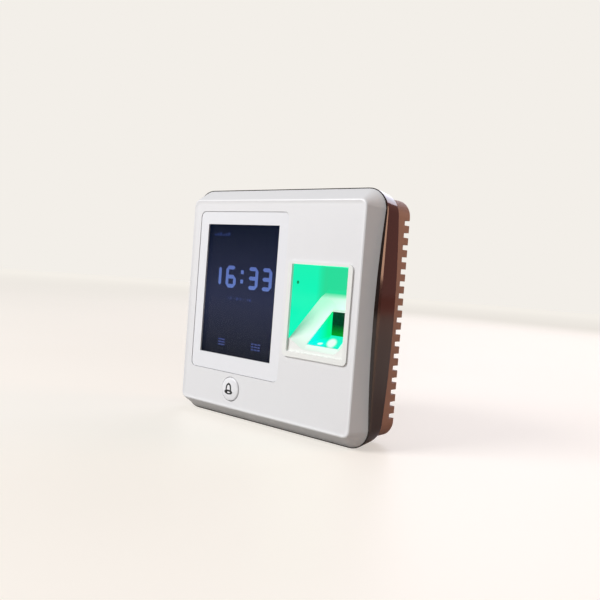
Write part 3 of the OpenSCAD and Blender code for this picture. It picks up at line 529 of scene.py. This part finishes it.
DATE_STROKE_MM = 0.3
STATUS_PLACE_MM = (-45.5, 37.4)
STATUS_STEP_MM = 2.2
STATUS_W_MM = 1.4
SYMBOL_Z_MM = -23.8
SYMBOL_ROW_MM = 1.5
LIST_SYMBOL_MM = (-36.5, 5.2, 0.6)    # left edge, width and height of each line
GRID_SYMBOL_MM = (-10.6, 2.4, 1.7, 0.7)    # left edge, step, width and height of each cell


def draw_small_marks():
    """A made-up date, a row of status bars at the top, and two menu symbols at the bottom."""
    shape = bmesh.new()
    for i, sign in enumerate("12-04-16"):
        figure(shape, sign, (DATE_X_MM + i * DATE_STEP_MM) * MM, DATE_Z_MM * MM,
               0.66 * DATE_H_MM * MM, DATE_H_MM * MM, DATE_STROKE_MM * MM)
    status_x, status_z = STATUS_PLACE_MM
    for i in range(6):
        box_plate(shape, (status_x + STATUS_STEP_MM * i) * MM, status_z * MM, STATUS_W_MM * MM,
                  (1.0 + 0.5 * (i % 3)) * MM)
    line_x, line_w, line_h = LIST_SYMBOL_MM
    grid_x, step, cell_w, cell_h = GRID_SYMBOL_MM
    for row in range(3):
        z = (SYMBOL_Z_MM + SYMBOL_ROW_MM * row) * MM
        box_plate(shape, line_x * MM, z, line_w * MM, line_h * MM)
        for column in range(3):
            box_plate(shape, (grid_x + step * column) * MM, z, cell_w * MM, cell_h * MM)
    add_piece("small_marks", shape, lit_mark("dim screen marks", "#46548c", "#2b3866"))


draw_clock()
draw_small_marks()

# ---------------------------------------------------------------- behind the screen
# An acrylic light guide in a folded tinplate tray, and the display board screwed behind it. The
# board is green glass epoxy, and a flat polyester cable clips it to the main board.


def acrylic_light_guide():
    """Cast acrylic sheet with printed dots: milky, softly glossy."""
    made, tree, finish, place = start("dotted acrylic light guide", Roughness=0.25, IOR=1.49)
    dots = add(tree, "ShaderNodeTexVoronoi", {"Scale": per_metre(1.2), "Randomness": 0.0}, {"Vector": place})
    colour = add(tree, "ShaderNodeMix", {6: tint("#f4f7fa"), 7: tint("#d9e0e6")},
                 {0: dots.outputs["Distance"]}, data_type="RGBA")
    tree.links.new(colour.outputs[2], finish.inputs["Base Color"])
    return made


def tinplate():
    """Cold-rolled tinplate: silvery and softly brushed along its length."""
    made, tree, finish, place = start("rolled tinplate", Metallic=1, Roughness=0.3)
    run = add(tree, "ShaderNodeMapping", {"Scale": (1, 1, 0.04)}, {"Vector": place})
    brush = add(tree, "ShaderNodeTexNoise", {"Scale": per_metre(0.6), "Detail": 2},
                {"Vector": run.outputs[0]})
    colour = add(tree, "ShaderNodeMix", {6: tint("#cfd1d2"), 7: tint("#b1b4b6")},
                 {0: brush.outputs["Fac"]}, data_type="RGBA")
    tree.links.new(colour.outputs[2], finish.inputs["Base Color"])
    rough = add(tree, "ShaderNodeMapRange", {"To Min": 0.22, "To Max": 0.42}, {"Value": brush.outputs["Fac"]})
    tree.links.new(rough.outputs["Result"], finish.inputs["Roughness"])
    return made


def circuit_board():
    """Glass-epoxy board under green solder resist: raised traces in a paler green, tinned pads."""
    made, tree, finish, place = start("green solder resist", Roughness=0.3, IOR=1.55)
    flat = add(tree, "ShaderNodeMapping", {"Rotation": (math.pi / 2, 0, 0)}, {"Vector": place})
    traces = add(tree, "ShaderNodeTexBrick",
                 {"Scale": 1.0, "Mortar Size": 0.25 * MM, "Brick Width": 9 * MM, "Row Height": 2.1 * MM,
                  "Color1": tint("#0f5a33"), "Color2": tint("#12643a"), "Mortar": tint("#2a8a55")},
                 {"Vector": flat.outputs[0]}, offset=0.37)
    pads = add(tree, "ShaderNodeTexVoronoi", {"Scale": per_metre(4.2)}, {"Vector": flat.outputs[0]})
    near = add(tree, "ShaderNodeMath", {1: 0.13}, {0: pads.outputs["Distance"]}, operation="LESS_THAN")
    colour = add(tree, "ShaderNodeMix", {7: tint("#c9c3a4")},
                 {0: near.outputs[0], 6: traces.outputs["Color"]}, data_type="RGBA")
    tree.links.new(colour.outputs[2], finish.inputs["Base Color"])
    relief = add(tree, "ShaderNodeBump", {"Strength": 0.5, "Distance": 0.04 * MM},
                 {"Height": traces.outputs["Fac"]})
    tree.links.new(relief.outputs["Normal"], finish.inputs["Normal"])
    return made


def flat_cable():
    """Polyester ribbon over printed conductors: off-white with fine grey lines, satin."""
    made, tree, finish, place = start("polyester ribbon cable", Roughness=0.4, IOR=1.6)
    # the wave repeats each 0.314 of this size: 2 mm, against 1 mm on the real cable, so that it shows
    lines = add(tree, "ShaderNodeTexWave", {"Scale": per_metre(6.3), "Distortion": 0.0},
                {"Vector": place}, bands_direction="X")
    colour = add(tree, "ShaderNodeMix", {6: tint("#e9e6da"), 7: tint("#a9a89f")},
                 {0: lines.outputs["Fac"]}, data_type="RGBA")
    tree.links.new(colour.outputs[2], finish.inputs["Base Color"])
    return made


tin_plate = tinplate()
board_green = circuit_board()
ribbon_white = flat_cable()
dress(acrylic_light_guide(), "backlight")
dress(tin_plate, "lcd_frame")
dress(board_green, "display_board", "led_board", "imager_board")
dress(ribbon_white, "display_cable", "sensor_cable")

# ---------------------------------------------------------------- bell key
# A round white cap with a low crown, held behind the cover by its flange, and pressed against a
# small switch. A bell is pad-printed on it in black ink.

# ABS, moulded in a polished tool and worn smooth by fingers
key_abs = moulded("worn smooth white ABS", "#f1f1f4", "#ebebef", 0.24, 8, 0.6, 0.004, bump=0.3)
bell_cap = soften("bell_button", "bell_cap", key_abs, 0.7, body="bell_key", steps=3,
                  clamp=False)

INK_MM = 0.05
BELL_LEFT_MM = 0.5
BELL_STROKE_MM = 0.95
BELL_STEPS = 24
cap_low, cap_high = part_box("bell_button")
key_hole_r = 6.5 * MM
crown_drop = 0.7 * MM
crown_r = (key_hole_r ** 2 + crown_drop ** 2) / (2 * crown_drop)
cap_x = (cap_low.x + cap_high.x) / 2 - BELL_LEFT_MM * MM
cap_z = (cap_low.z + cap_high.z) / 2

# The crown is a layer of ink lower than the key's box, so that the print stays within it
for point in bell_cap.data.vertices:
    if point.co.y < cap_low.y + crown_drop:
        point.co.y += INK_MM * MM


def crown_depth(x, z):
    """Depth of the cap's face at a point measured from the middle of the print."""
    return (cap_low.y + INK_MM * MM + crown_r
            - math.sqrt(crown_r ** 2 - (x - BELL_LEFT_MM * MM) ** 2 - z * z))


def print_strip(shape, one_side, other_side, closed=False):
    """A thin layer of ink on the crown, between two rows of (x, z) points in millimetres."""
    rows = []
    for points in (one_side, other_side):
        for lift in (INK_MM, -INK_MM):
            rows.append([shape.verts.new((cap_x + x * MM, crown_depth(x * MM, z * MM) - lift * MM,
                                          cap_z + z * MM)) for x, z in points])
    a_top, a_low, b_top, b_low = rows
    count = len(a_top)
    for i in range(count if closed else count - 1):
        j = (i + 1) % count
        for one, two in ((a_top, b_top), (b_top, b_low), (b_low, a_low), (a_low, a_top)):
            shape.faces.new((one[i], one[j], two[j], two[i]))
    if not closed:
        for i in (0, -1):
            shape.faces.new((a_top[i], b_top[i], b_low[i], a_low[i]))


DOME_FLARE = 0.45    # share of each half of the outline that is its flared lower side
DOME_FOOT_MM = (2.5, -1.2)
DOME_SHOULDER_MM = (2.1, 0.8)
DOME_RISE_MM = 2.5


def dome(t, inset):
    """Outline of the bell's dome: its left foot at t = 0, over the top, its right foot at t = 1."""
    side = 1 if t > 0.5 else -1
    share = 1 - abs(2 * t - 1)
    foot_x, foot_z = DOME_FOOT_MM
    shoulder_x, shoulder_z = DOME_SHOULDER_MM
    if share < DOME_FLARE:
        rise = share / DOME_FLARE
        flare = (foot_x - shoulder_x) * math.sqrt(rise)
        return side * (foot_x - flare - inset), foot_z + (shoulder_z - foot_z) * rise
    a = (share - DOME_FLARE) / (1 - DOME_FLARE) * math.pi / 2
    return side * (shoulder_x - inset) * math.cos(a), shoulder_z + (DOME_RISE_MM - inset) * math.sin(a)


def oval(x, z, half_width, half_height):
    turns = [2 * math.pi * i / BELL_STEPS for i in range(BELL_STEPS)]
    return [(x + half_width * math.cos(a), z + half_height * math.sin(a)) for a in turns]


def print_bell():
    """The bell: its dome in outline, a solid rim with the clapper left open, and a small knob."""
    shape = bmesh.new()
    turns = [i / BELL_STEPS for i in range(BELL_STEPS + 1)]
    print_strip(shape, [dome(t, 0) for t in turns], [dome(t, BELL_STROKE_MM) for t in turns])
    print_strip(shape, oval(0, -1.6, 3.1, 1.3), oval(0.35, -1.7, 1.15, 0.45), closed=True)
    print_strip(shape, oval(0, 3.2, 0.45, 0.3), oval(0, 3.2, 0.02, 0.02), closed=True)
    add_piece("bell_print", shape, printing_ink(), body="bell_key")


def printing_ink():
    """Pad-printed two-part ink: black, satin, slightly uneven in cover."""
    made, tree, finish, place = start("black pad-printing ink", Roughness=0.35, IOR=1.5)
    cover = add(tree, "ShaderNodeTexNoise", {"Scale": per_metre(0.7), "Detail": 2}, {"Vector": place})
    colour = add(tree, "ShaderNodeMix", {6: tint("#0c0c0e"), 7: tint("#232326")},
                 {0: cover.outputs["Fac"]}, data_type="RGBA")
    tree.links.new(colour.outputs[2], finish.inputs["Base Color"])
    return made


print_bell()

# ---------------------------------------------------------------- finger well
# A recess with a sloping, grooved rest of gloss white ABS, and a lining above it on which the green
# light of the sensor's diodes is painted as a glow. The rest's frame is snapped into the cover.

# ABS, moulded in a polished tool: as glossy as the bezel, and slightly warmer than the lining
rest_abs = moulded("polished white ABS", "#f3f4f2", "#eceeeb", 0.18, 30, 0.6, 0.003, bump=0.1)

# Painted light: the green glow of the sensor's diodes on the lining, over a dark base colour.
PAINTED_GLOW_BASE = "#03201a"
LINER_FRONT = "#1ff0b2"
LINER_DEEP = "#02f6bc"
LINER_BACK = "#2adb98"
LINER_SHADE = "#2fd79a"
liner_low, liner_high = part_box("well_liner")


def painted_green_liner():
    """Painted green light of the sensor's diodes on the lining: deepest near the sensor, dimmer at the back.
    """
    made, tree, finish, place = start("lining with painted green light", Base_Color=tint(PAINTED_GLOW_BASE),
                                      Roughness=0.3, Specular_IOR_Level=0.15,
                                      Emission_Strength=1.0)
    down = along_axis(tree, place, "Z", liner_high.z, liner_low.z + 6 * MM)
    side = add(tree, "ShaderNodeMix", {6: tint(LINER_FRONT), 7: tint(LINER_DEEP)}, {0: down},
               data_type="RGBA")
    right = along_axis(tree, place, "X", liner_low.x, liner_high.x)
    back = add(tree, "ShaderNodeMix", {6: tint(LINER_BACK), 7: tint(LINER_SHADE)}, {0: right},
               data_type="RGBA")
    deep = along_axis(tree, place, "Y", liner_high.y - 7 * MM, liner_high.y - 1.5 * MM)
    glow = add(tree, "ShaderNodeMix", links={0: deep, 6: side.outputs[2], 7: back.outputs[2]},
               data_type="RGBA")
    tree.links.new(glow.outputs[2], finish.inputs["Emission Color"])
    return made


# Painted light on the rest: none at the well's mouth, and a grey-white glow on its groove.
WELL_MOUTH = "#000000"
REST_GLOW = "#a7a1a2"


def flood_rest():
    """Paints on the rest the light it takes from the lining: white on its groove, green over a dark base at
    its back.
    """
    tree = rest_abs.node_tree
    finish = tree.nodes["Principled BSDF"]
    place = tree.nodes["Texture Coordinate"].outputs["Object"]
    inside = along_axis(tree, place, "Y", -34 * MM, -16 * MM)
    height = along_axis(tree, place, "Z", 7.2 * MM, 10.5 * MM)
    green = add(tree, "ShaderNodeMath", links={0: inside, 1: height}, operation="MULTIPLY").outputs[0]
    plastic = finish.inputs["Base Color"].links[0].from_socket
    dark_under_painted_green = add(tree, "ShaderNodeMix", {7: tint(PAINTED_GLOW_BASE)}, {0: green, 6: plastic}, data_type="RGBA")
    tree.links.new(dark_under_painted_green.outputs[2], finish.inputs["Base Color"])
    back = add(tree, "ShaderNodeMix", {6: tint(REST_GLOW), 7: tint(LINER_BACK)}, {0: green},
               data_type="RGBA")
    glow = add(tree, "ShaderNodeMix", {6: tint(WELL_MOUTH)}, {0: inside, 7: back.outputs[2]},
               data_type="RGBA")
    tree.links.new(glow.outputs[2], finish.inputs["Emission Color"])
    finish.inputs["Emission Strength"].default_value = 1.0


flood_rest()
soften("finger_rest", "grooved_rest", rest_abs, 0.5, from_angle=30)
soften("well_liner", "painted_glow_lining", painted_green_liner(), 0.2, from_angle=30)

SPOT_Z_MM = 15.1
SPOT_Y_MM = -30.2
SPOT_R_MM = 0.9


def add_wake_sensor():
    """The small dark lens of the sensor that wakes the terminal, set flush in the left wall; its green is
    painted light from the well.
    """
    shape = bmesh.new()
    wall_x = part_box("well_liner")[0].x + 0.9 * MM
    steps = 20
    rings = []
    for radius, rise in ((SPOT_R_MM, -0.3), (SPOT_R_MM, 0.03), (0.6 * SPOT_R_MM, 0.06)):
        rings.append([shape.verts.new((wall_x + rise * MM,
                                       (SPOT_Y_MM + radius * math.cos(2 * math.pi * i / steps)) * MM,
                                       (SPOT_Z_MM + radius * math.sin(2 * math.pi * i / steps)) * MM))
                      for i in range(steps)])
    for one, two in zip(rings, rings[1:]):
        for i in range(steps):
            j = (i + 1) % steps
            shape.faces.new((one[i], one[j], two[j], two[i]))
    shape.faces.new(rings[0])
    shape.faces.new(rings[-1])
    bmesh.ops.recalc_face_normals(shape, faces=shape.faces)
    # Both tints are the well's green light painted on the dark lens.
    material = moulded("infrared-clear dark acrylic with painted green light", "#23bd88", "#1eab7b", 0.3, 3, 0.5, 0.002)
    add_piece("wake_sensor_lens", shape, material)


add_wake_sensor()

# ---------------------------------------------------------------- fingerprint sensor
# A glass prism lit from below by green diodes. The finger lies on its sloping face, and a small
# camera looks at that face through the prism's dark back.

WINDOW_T_MM = 0.9
WINDOW_INSET_MM = 0.3
prism_low, prism_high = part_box("sensor_prism")
FLOOR_RISE_MM = 3.8
SIDE_TURN_MM = 10.3


def optical_glass():
    """Coated crown glass: clear, almost without reflections, and with a breath of finger grease.

    Its index is far below glass's 1.52, and stands for the anti-reflection coating."""
    made, tree, finish, place = start("coated crown glass", Transmission_Weight=1, IOR=1.15,
                                      Base_Color=tint("#f6fffa"))
    grease = add(tree, "ShaderNodeTexNoise", {"Scale": per_metre(5), "Detail": 3}, {"Vector": place})
    rough = add(tree, "ShaderNodeMapRange", {"From Min": 0.4, "To Min": 0.0, "To Max": 0.06},
                {"Value": grease.outputs["Fac"]})
    tree.links.new(rough.outputs["Result"], finish.inputs["Roughness"])
    return made


def add_window():
    """The slab of glass that forms the prism's sloping face, a little smaller than the prism."""
    shape = bmesh.new()
    inset = WINDOW_INSET_MM * MM
    near, far = prism_low.y + inset, prism_high.y
    low, high = prism_low.z + inset, prism_high.z
    slope = (high - low) / (far - near)
    drop = WINDOW_T_MM * MM * math.hypot(1, slope)
    outline = [(near + drop / slope, low), (near, low), (far, high), (far, high - drop)]
    sides = [[shape.verts.new((x, y, z)) for y, z in outline] for x in (prism_low.x + inset, prism_high.x)]
    shape.faces.new(sides[0])
    shape.faces.new(sides[1][::-1])
    for i in range(4):
        j = (i + 1) % 4
        shape.faces.new((sides[0][j], sides[0][i], sides[1][i], sides[1][j]))
    bmesh.ops.recalc_face_normals(shape, faces=shape.faces)
    return add_piece("prism_window", shape, optical_glass())


def sheet(name, corners, material, thickness_mm=0.25):
    """A thin plate with one face on these corners, thickened away from the prism's middle."""
    shape = bmesh.new()
    face = [shape.verts.new(c) for c in corners]
    shape.faces.new(face)
    bmesh.ops.triangulate(shape, faces=shape.faces)
    bmesh.ops.subdivide_edges(shape, edges=shape.edges, cuts=3, use_grid_fill=True)
    middle = (prism_low + prism_high) / 2
    centre = sum((Vector(c) for c in corners), Vector()) / len(corners)
    shape.faces.ensure_lookup_table()
    bmesh.ops.recalc_face_normals(shape, faces=shape.faces)
    if shape.faces[0].normal.dot(middle - centre) < 0:
        bmesh.ops.reverse_faces(shape, faces=shape.faces)
    piece = add_piece(name, shape, material)
    thick = piece.modifiers.new("thickness", "SOLIDIFY")
    thick.thickness = thickness_mm * MM
    thick.offset = -1
    bake_modifiers(piece)
    return piece


def spot_share(tree, place, centre, half_width_mm, half_length_mm, soft):
    """1 inside a slanting oval round a point, falling to 0 over its soft edge."""
    unit = add(tree, "ShaderNodeMapping", {"Location": centre, "Rotation": (0, 0, math.radians(LAMP_TURN)),
                                           "Scale": (half_width_mm * MM, half_length_mm * MM, 1)},
               {"Vector": place}, vector_type="TEXTURE").outputs[0]
    gap = add(tree, "ShaderNodeVectorMath", links={0: unit}, operation="LENGTH").outputs["Value"]
    return add(tree, "ShaderNodeMapRange", {"From Min": 1 + soft, "From Max": 1 - soft}, {"Value": gap}
               ).outputs["Result"]


FILM_INSET_MM = 0.3
FILM_BELOW_WINDOW = 1.6     # in thicknesses of the window
# Where diode light is painted as spots: on the floor film, and on the side film a painted reflection of a
# diode.
LAMP_PLACE = (Vector((38.2, -24.6, 0)) * MM, 2.3, 8.0)    # centre, half width and half length in mm
SIDE_LAMP_PLACE = (Vector((33.7, -28.3, 0)) * MM, 1.3, 1.9)
# Painted diode light on the films: green glow, and white hot spots.
GLOW_CYAN = "#0afbea"
GLOW_GREEN = "#05f78e"
GLOW_MINT = "#1df6cb"
LAMP_WHITE = "#f6fffb"
LAMP_SOFT = 0.25
LAMP_TURN = 33.5
# Painted light on the dark absorber: green diode light towards its low edge, fading to near black at the top.
BACK_TOP = "#012208"
BACK_LOW = "#059a14"


def lit_reflector(name, first, second, axis, low, high, lamps):
    """White reflector film with the diodes' green light painted on, and painted blown-out spots near the
    diodes.
    """
    made, tree, finish, place = start(name, Base_Color=tint("#011008"), Roughness=0.5,
                                      Specular_IOR_Level=0.1, Emission_Strength=1.0)
    across = along_axis(tree, place, axis, low, high)
    glow = add(tree, "ShaderNodeMix", {6: tint(first), 7: tint(second)}, {0: across}, data_type="RGBA")
    for centre, half_width_mm, half_length_mm in lamps:
        spot = spot_share(tree, place, centre, half_width_mm, half_length_mm, LAMP_SOFT)
        glow = add(tree, "ShaderNodeMix", {7: tint(LAMP_WHITE)}, {0: spot, 6: glow.outputs[2]},
                   data_type="RGBA")
    tree.links.new(glow.outputs[2], finish.inputs["Emission Color"])
    return made


def add_prism_inside():
    """Films on the prism's floor, back and sides, with the diodes' green light and its blots painted on them.
    """
    inset = FILM_INSET_MM * MM
    near, far = prism_low.y + inset, prism_high.y - inset
    low, high = prism_low.z + inset, prism_high.z - WINDOW_T_MM * MM * FILM_BELOW_WINDOW
    left, right = prism_low.x + inset, prism_high.x - inset
    rise = low + FLOOR_RISE_MM * MM
    turn = left + SIDE_TURN_MM * MM
    back = lit_reflector("absorber film in the prism", BACK_LOW, BACK_TOP, "Z", rise, rise + 6 * MM, [])
    floor = lit_reflector("prism floor reflector", GLOW_MINT, GLOW_MINT, "X", left, right,
                          [LAMP_PLACE])
    side = lit_reflector("prism side reflector", GLOW_CYAN, GLOW_GREEN, "Y", near + 6 * MM, far - 3 * MM,
                         [SIDE_LAMP_PLACE])
    sheet("prism_back_film",
          [(left, far, rise), (right, far, rise), (right, far, high), (left, far, high)], back)
    sheet("prism_floor_film",
          [(turn, near, low), (right, near, low), (right, far, rise), (left, far, rise)], floor)
    sheet("prism_left_film",
          [(left, near, low), (turn, near, low), (left, far, rise), (left, far, high)], side)
    sheet("prism_right_film", [(right, near, low), (right, far, rise), (right, far, high)], side)


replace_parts(add_window(), "sensor_prism")
add_prism_inside()

# Glass-filled nylon, moulded: black, dull, slightly grainy
black_nylon = moulded("black glass-filled nylon", "#1b1b1d", "#242427", 0.55, 6, 0.4, 0.01)


def diode_resin():
    """Cast epoxy diode lens, water-clear green: glossy, and lit."""
    made, tree, finish, place = start("lit green diode resin", Base_Color=tint("#37e05a"), Roughness=0.1,
                                      IOR=1.54, Emission_Strength=1.2)
    core = add(tree, "ShaderNodeTexNoise", {"Scale": per_metre(1.5)}, {"Vector": place})
    glow = add(tree, "ShaderNodeMix", {6: tint("#3cf078"), 7: tint("#c8ffd8")}, {0: core.outputs["Fac"]},
               data_type="RGBA")
    tree.links.new(glow.outputs[2], finish.inputs["Emission Color"])
    return made


dress(black_nylon, "prism_holder", "absorber_plate", "imager_lens", "bell_switch", "battery_holder",
      "speaker", "tamper_switch")
dress(diode_resin(), "sensor_leds")

# ---------------------------------------------------------------- main board
# Carries the processor, relay, wiring terminals, network jack and clock cell. Its back shows
# through the cable opening, and the terminals and the jack face the wall.

dress(board_green, "main_board")
dress(tin_plate, "processor_shield")
dress(tin_plate, "network_jack")
# Nylon, moulded: the usual green of plug-in screw terminals, waxy
terminal_nylon = moulded("green polyamide", "#2f8f4a", "#277e40", 0.42, 5, 0.4, 0.008)
soften("wiring_terminals", "screw_terminals", terminal_nylon, 0.2)
# PBT, moulded: relay blue, satin
dress(moulded("blue PBT", "#2456a8", "#1e4b97", 0.35, 6, 0.4, 0.006), "relay")
dress(screw_steel, "clock_battery")
# Acetal, moulded: off-white, waxy
acetal = moulded("off-white acetal", "#e9e4d6", "#dfd9c9", 0.35, 4, 0.4, 0.004)
dress(acetal, "bell_switch_stem", "tamper_plunger")


def cuboid(shape, x, y, z, width, depth, height):
    """Adds a box that starts at its lowest corner; every size is in millimetres."""
    plate(shape, [(x * MM, z * MM), ((x + width) * MM, z * MM), ((x + width) * MM, (z + height) * MM),
                  (x * MM, (z + height) * MM)], y * MM, (y + depth) * MM)


def gold_contacts():
    """Phosphor bronze with a flash of gold: warm, glossy, a little uneven."""
    made, tree, finish, place = start("gold-flashed bronze", Metallic=1, Roughness=0.25)
    wear = add(tree, "ShaderNodeTexNoise", {"Scale": per_metre(1.5)}, {"Vector": place})
    colour = add(tree, "ShaderNodeMix", {6: tint("#e6c26a"), 7: tint("#c79a3e")}, {0: wear.outputs["Fac"]},
                 data_type="RGBA")
    tree.links.new(colour.outputs[2], finish.inputs["Base Color"])
    return made


JACK_WIRES = 8
JACK_PITCH_MM = 1.02
JACK_WIRE_MM = 0.45
JACK_LOW_WALL_MM = -4.1
# Depth of each bend of a contact wire, and its height above the jack's low wall
JACK_ROUTE_MM = [(-6.4, 0.3), (-7.4, 0.5), (-14.8, 3.6), (-15.4, 3.6)]
jack_low, jack_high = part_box("network_jack")


def add_jack_contacts():
    """Eight sprung wires that slope across the jack's mouth, from its low wall towards its back."""
    shape = bmesh.new()
    middle = (jack_low.x + jack_high.x) / 2
    wall_z = JACK_LOW_WALL_MM * MM
    for i in range(JACK_WIRES):
        x = middle + (i - (JACK_WIRES - 1) / 2) * JACK_PITCH_MM * MM
        rows = []
        for y, rise in JACK_ROUTE_MM:
            rows.append([shape.verts.new((x + sx * JACK_WIRE_MM / 2 * MM, y * MM,
                                          wall_z + (rise + sz * JACK_WIRE_MM) * MM))
                         for sx, sz in ((-1, 0), (1, 0), (1, 1), (-1, 1))])
        for one, two in zip(rows, rows[1:]):
            for k in range(4):
                shape.faces.new((one[k], one[(k + 1) % 4], two[(k + 1) % 4], two[k]))
        shape.faces.new(rows[0])
        shape.faces.new(rows[-1])
    bmesh.ops.recalc_face_normals(shape, faces=shape.faces)
    add_piece("jack_contacts", shape, gold_contacts())


CLAMP_X_MM = (-35.25, -22.25)
CLAMP_PITCH_MM = 3.5
CLAMP_R_MM = 1.08
CLAMP_SLOT_MM = 0.34
CLAMP_DEPTHS_MM = (-8.6, -7.7)


def add_terminal_screws():
    """Slotted clamp screws in the shallow holes of the terminals."""
    shape = bmesh.new()
    steps = 20
    radius, slot_half = CLAMP_R_MM, CLAMP_SLOT_MM / 2
    front, back = CLAMP_DEPTHS_MM
    for x in CLAMP_X_MM:
        for i in range(4):
            z = (i - 1.5) * CLAMP_PITCH_MM
            for side in (-1, 1):
                start_a = math.asin(slot_half / radius)
                arc = [start_a + (math.pi - 2 * start_a) * k / (steps // 2) for k in range(steps // 2 + 1)]
                outline = [((x + radius * math.cos(a)) * MM, (z + side * radius * math.sin(a)) * MM)
                           for a in arc]
                plate(shape, outline if side > 0 else outline[::-1], front * MM, back * MM)
    bmesh.ops.recalc_face_normals(shape, faces=shape.faces)
    add_piece("terminal_screws", shape, screw_steel)


BOARD_BACK_MM = -18.4
LEG_PITCH_MM = 1.27
# Left edge, low edge, width and height of each chip
CHIPS_MM = ((-42, 10, 6, 4.6), (-31, 10.4, 6, 4.6), (-4, 10.5, 7, 5), (-30, -14.6, 5, 4))
# Low edge, left edge of the first, and number of the resistors in each row
RESISTOR_ROWS = ((16.5, -22, 4), (13.4, -20, 5), (10.4, -18, 3), (-11.5, -42, 5),
                 (-14.5, -20, 4), (-11.5, -10, 5), (-15.5, -6, 4))
RESISTOR_STEP_MM = 2.6
RESISTOR_END_MM = 0.33


def add_board_parts():
    """Small surface-mounted parts on the back of the main board, round the terminals and the jack."""
    chips, legs, ends = bmesh.new(), bmesh.new(), bmesh.new()
    for x, z, width, height in CHIPS_MM:
        cuboid(chips, x, BOARD_BACK_MM + 0.1, z, width, 1.5, height)
        count = int(width / LEG_PITCH_MM)
        for i in range(count):
            leg_x = x + (width - LEG_PITCH_MM * (count - 1)) / 2 + LEG_PITCH_MM * i - 0.2
            cuboid(legs, leg_x, BOARD_BACK_MM, z - 0.9, 0.4, 0.5, 0.95)
            cuboid(legs, leg_x, BOARD_BACK_MM, z + height - 0.05, 0.4, 0.5, 0.95)
    for z, start_x, count in RESISTOR_ROWS:
        for i in range(count):
            x = start_x + RESISTOR_STEP_MM * i
            cuboid(chips, x + 0.35, BOARD_BACK_MM, z, 0.9, 0.55, 0.9)
            cuboid(ends, x, BOARD_BACK_MM, z, RESISTOR_END_MM, 0.55, 0.9)
            cuboid(ends, x + 1.27, BOARD_BACK_MM, z, RESISTOR_END_MM, 0.55, 0.9)
    for shape, name, material, slot in ((chips, "board_chips", black_nylon, "black_plastic"),
                                        (legs, "chip_legs", tin_plate, "tin_plate"),
                                        (ends, "resistor_ends", tin_plate, "tin_plate")):
        bmesh.ops.recalc_face_normals(shape, faces=shape.faces)
        add_piece(name, shape, material)


add_jack_contacts()
add_terminal_screws()
add_board_parts()
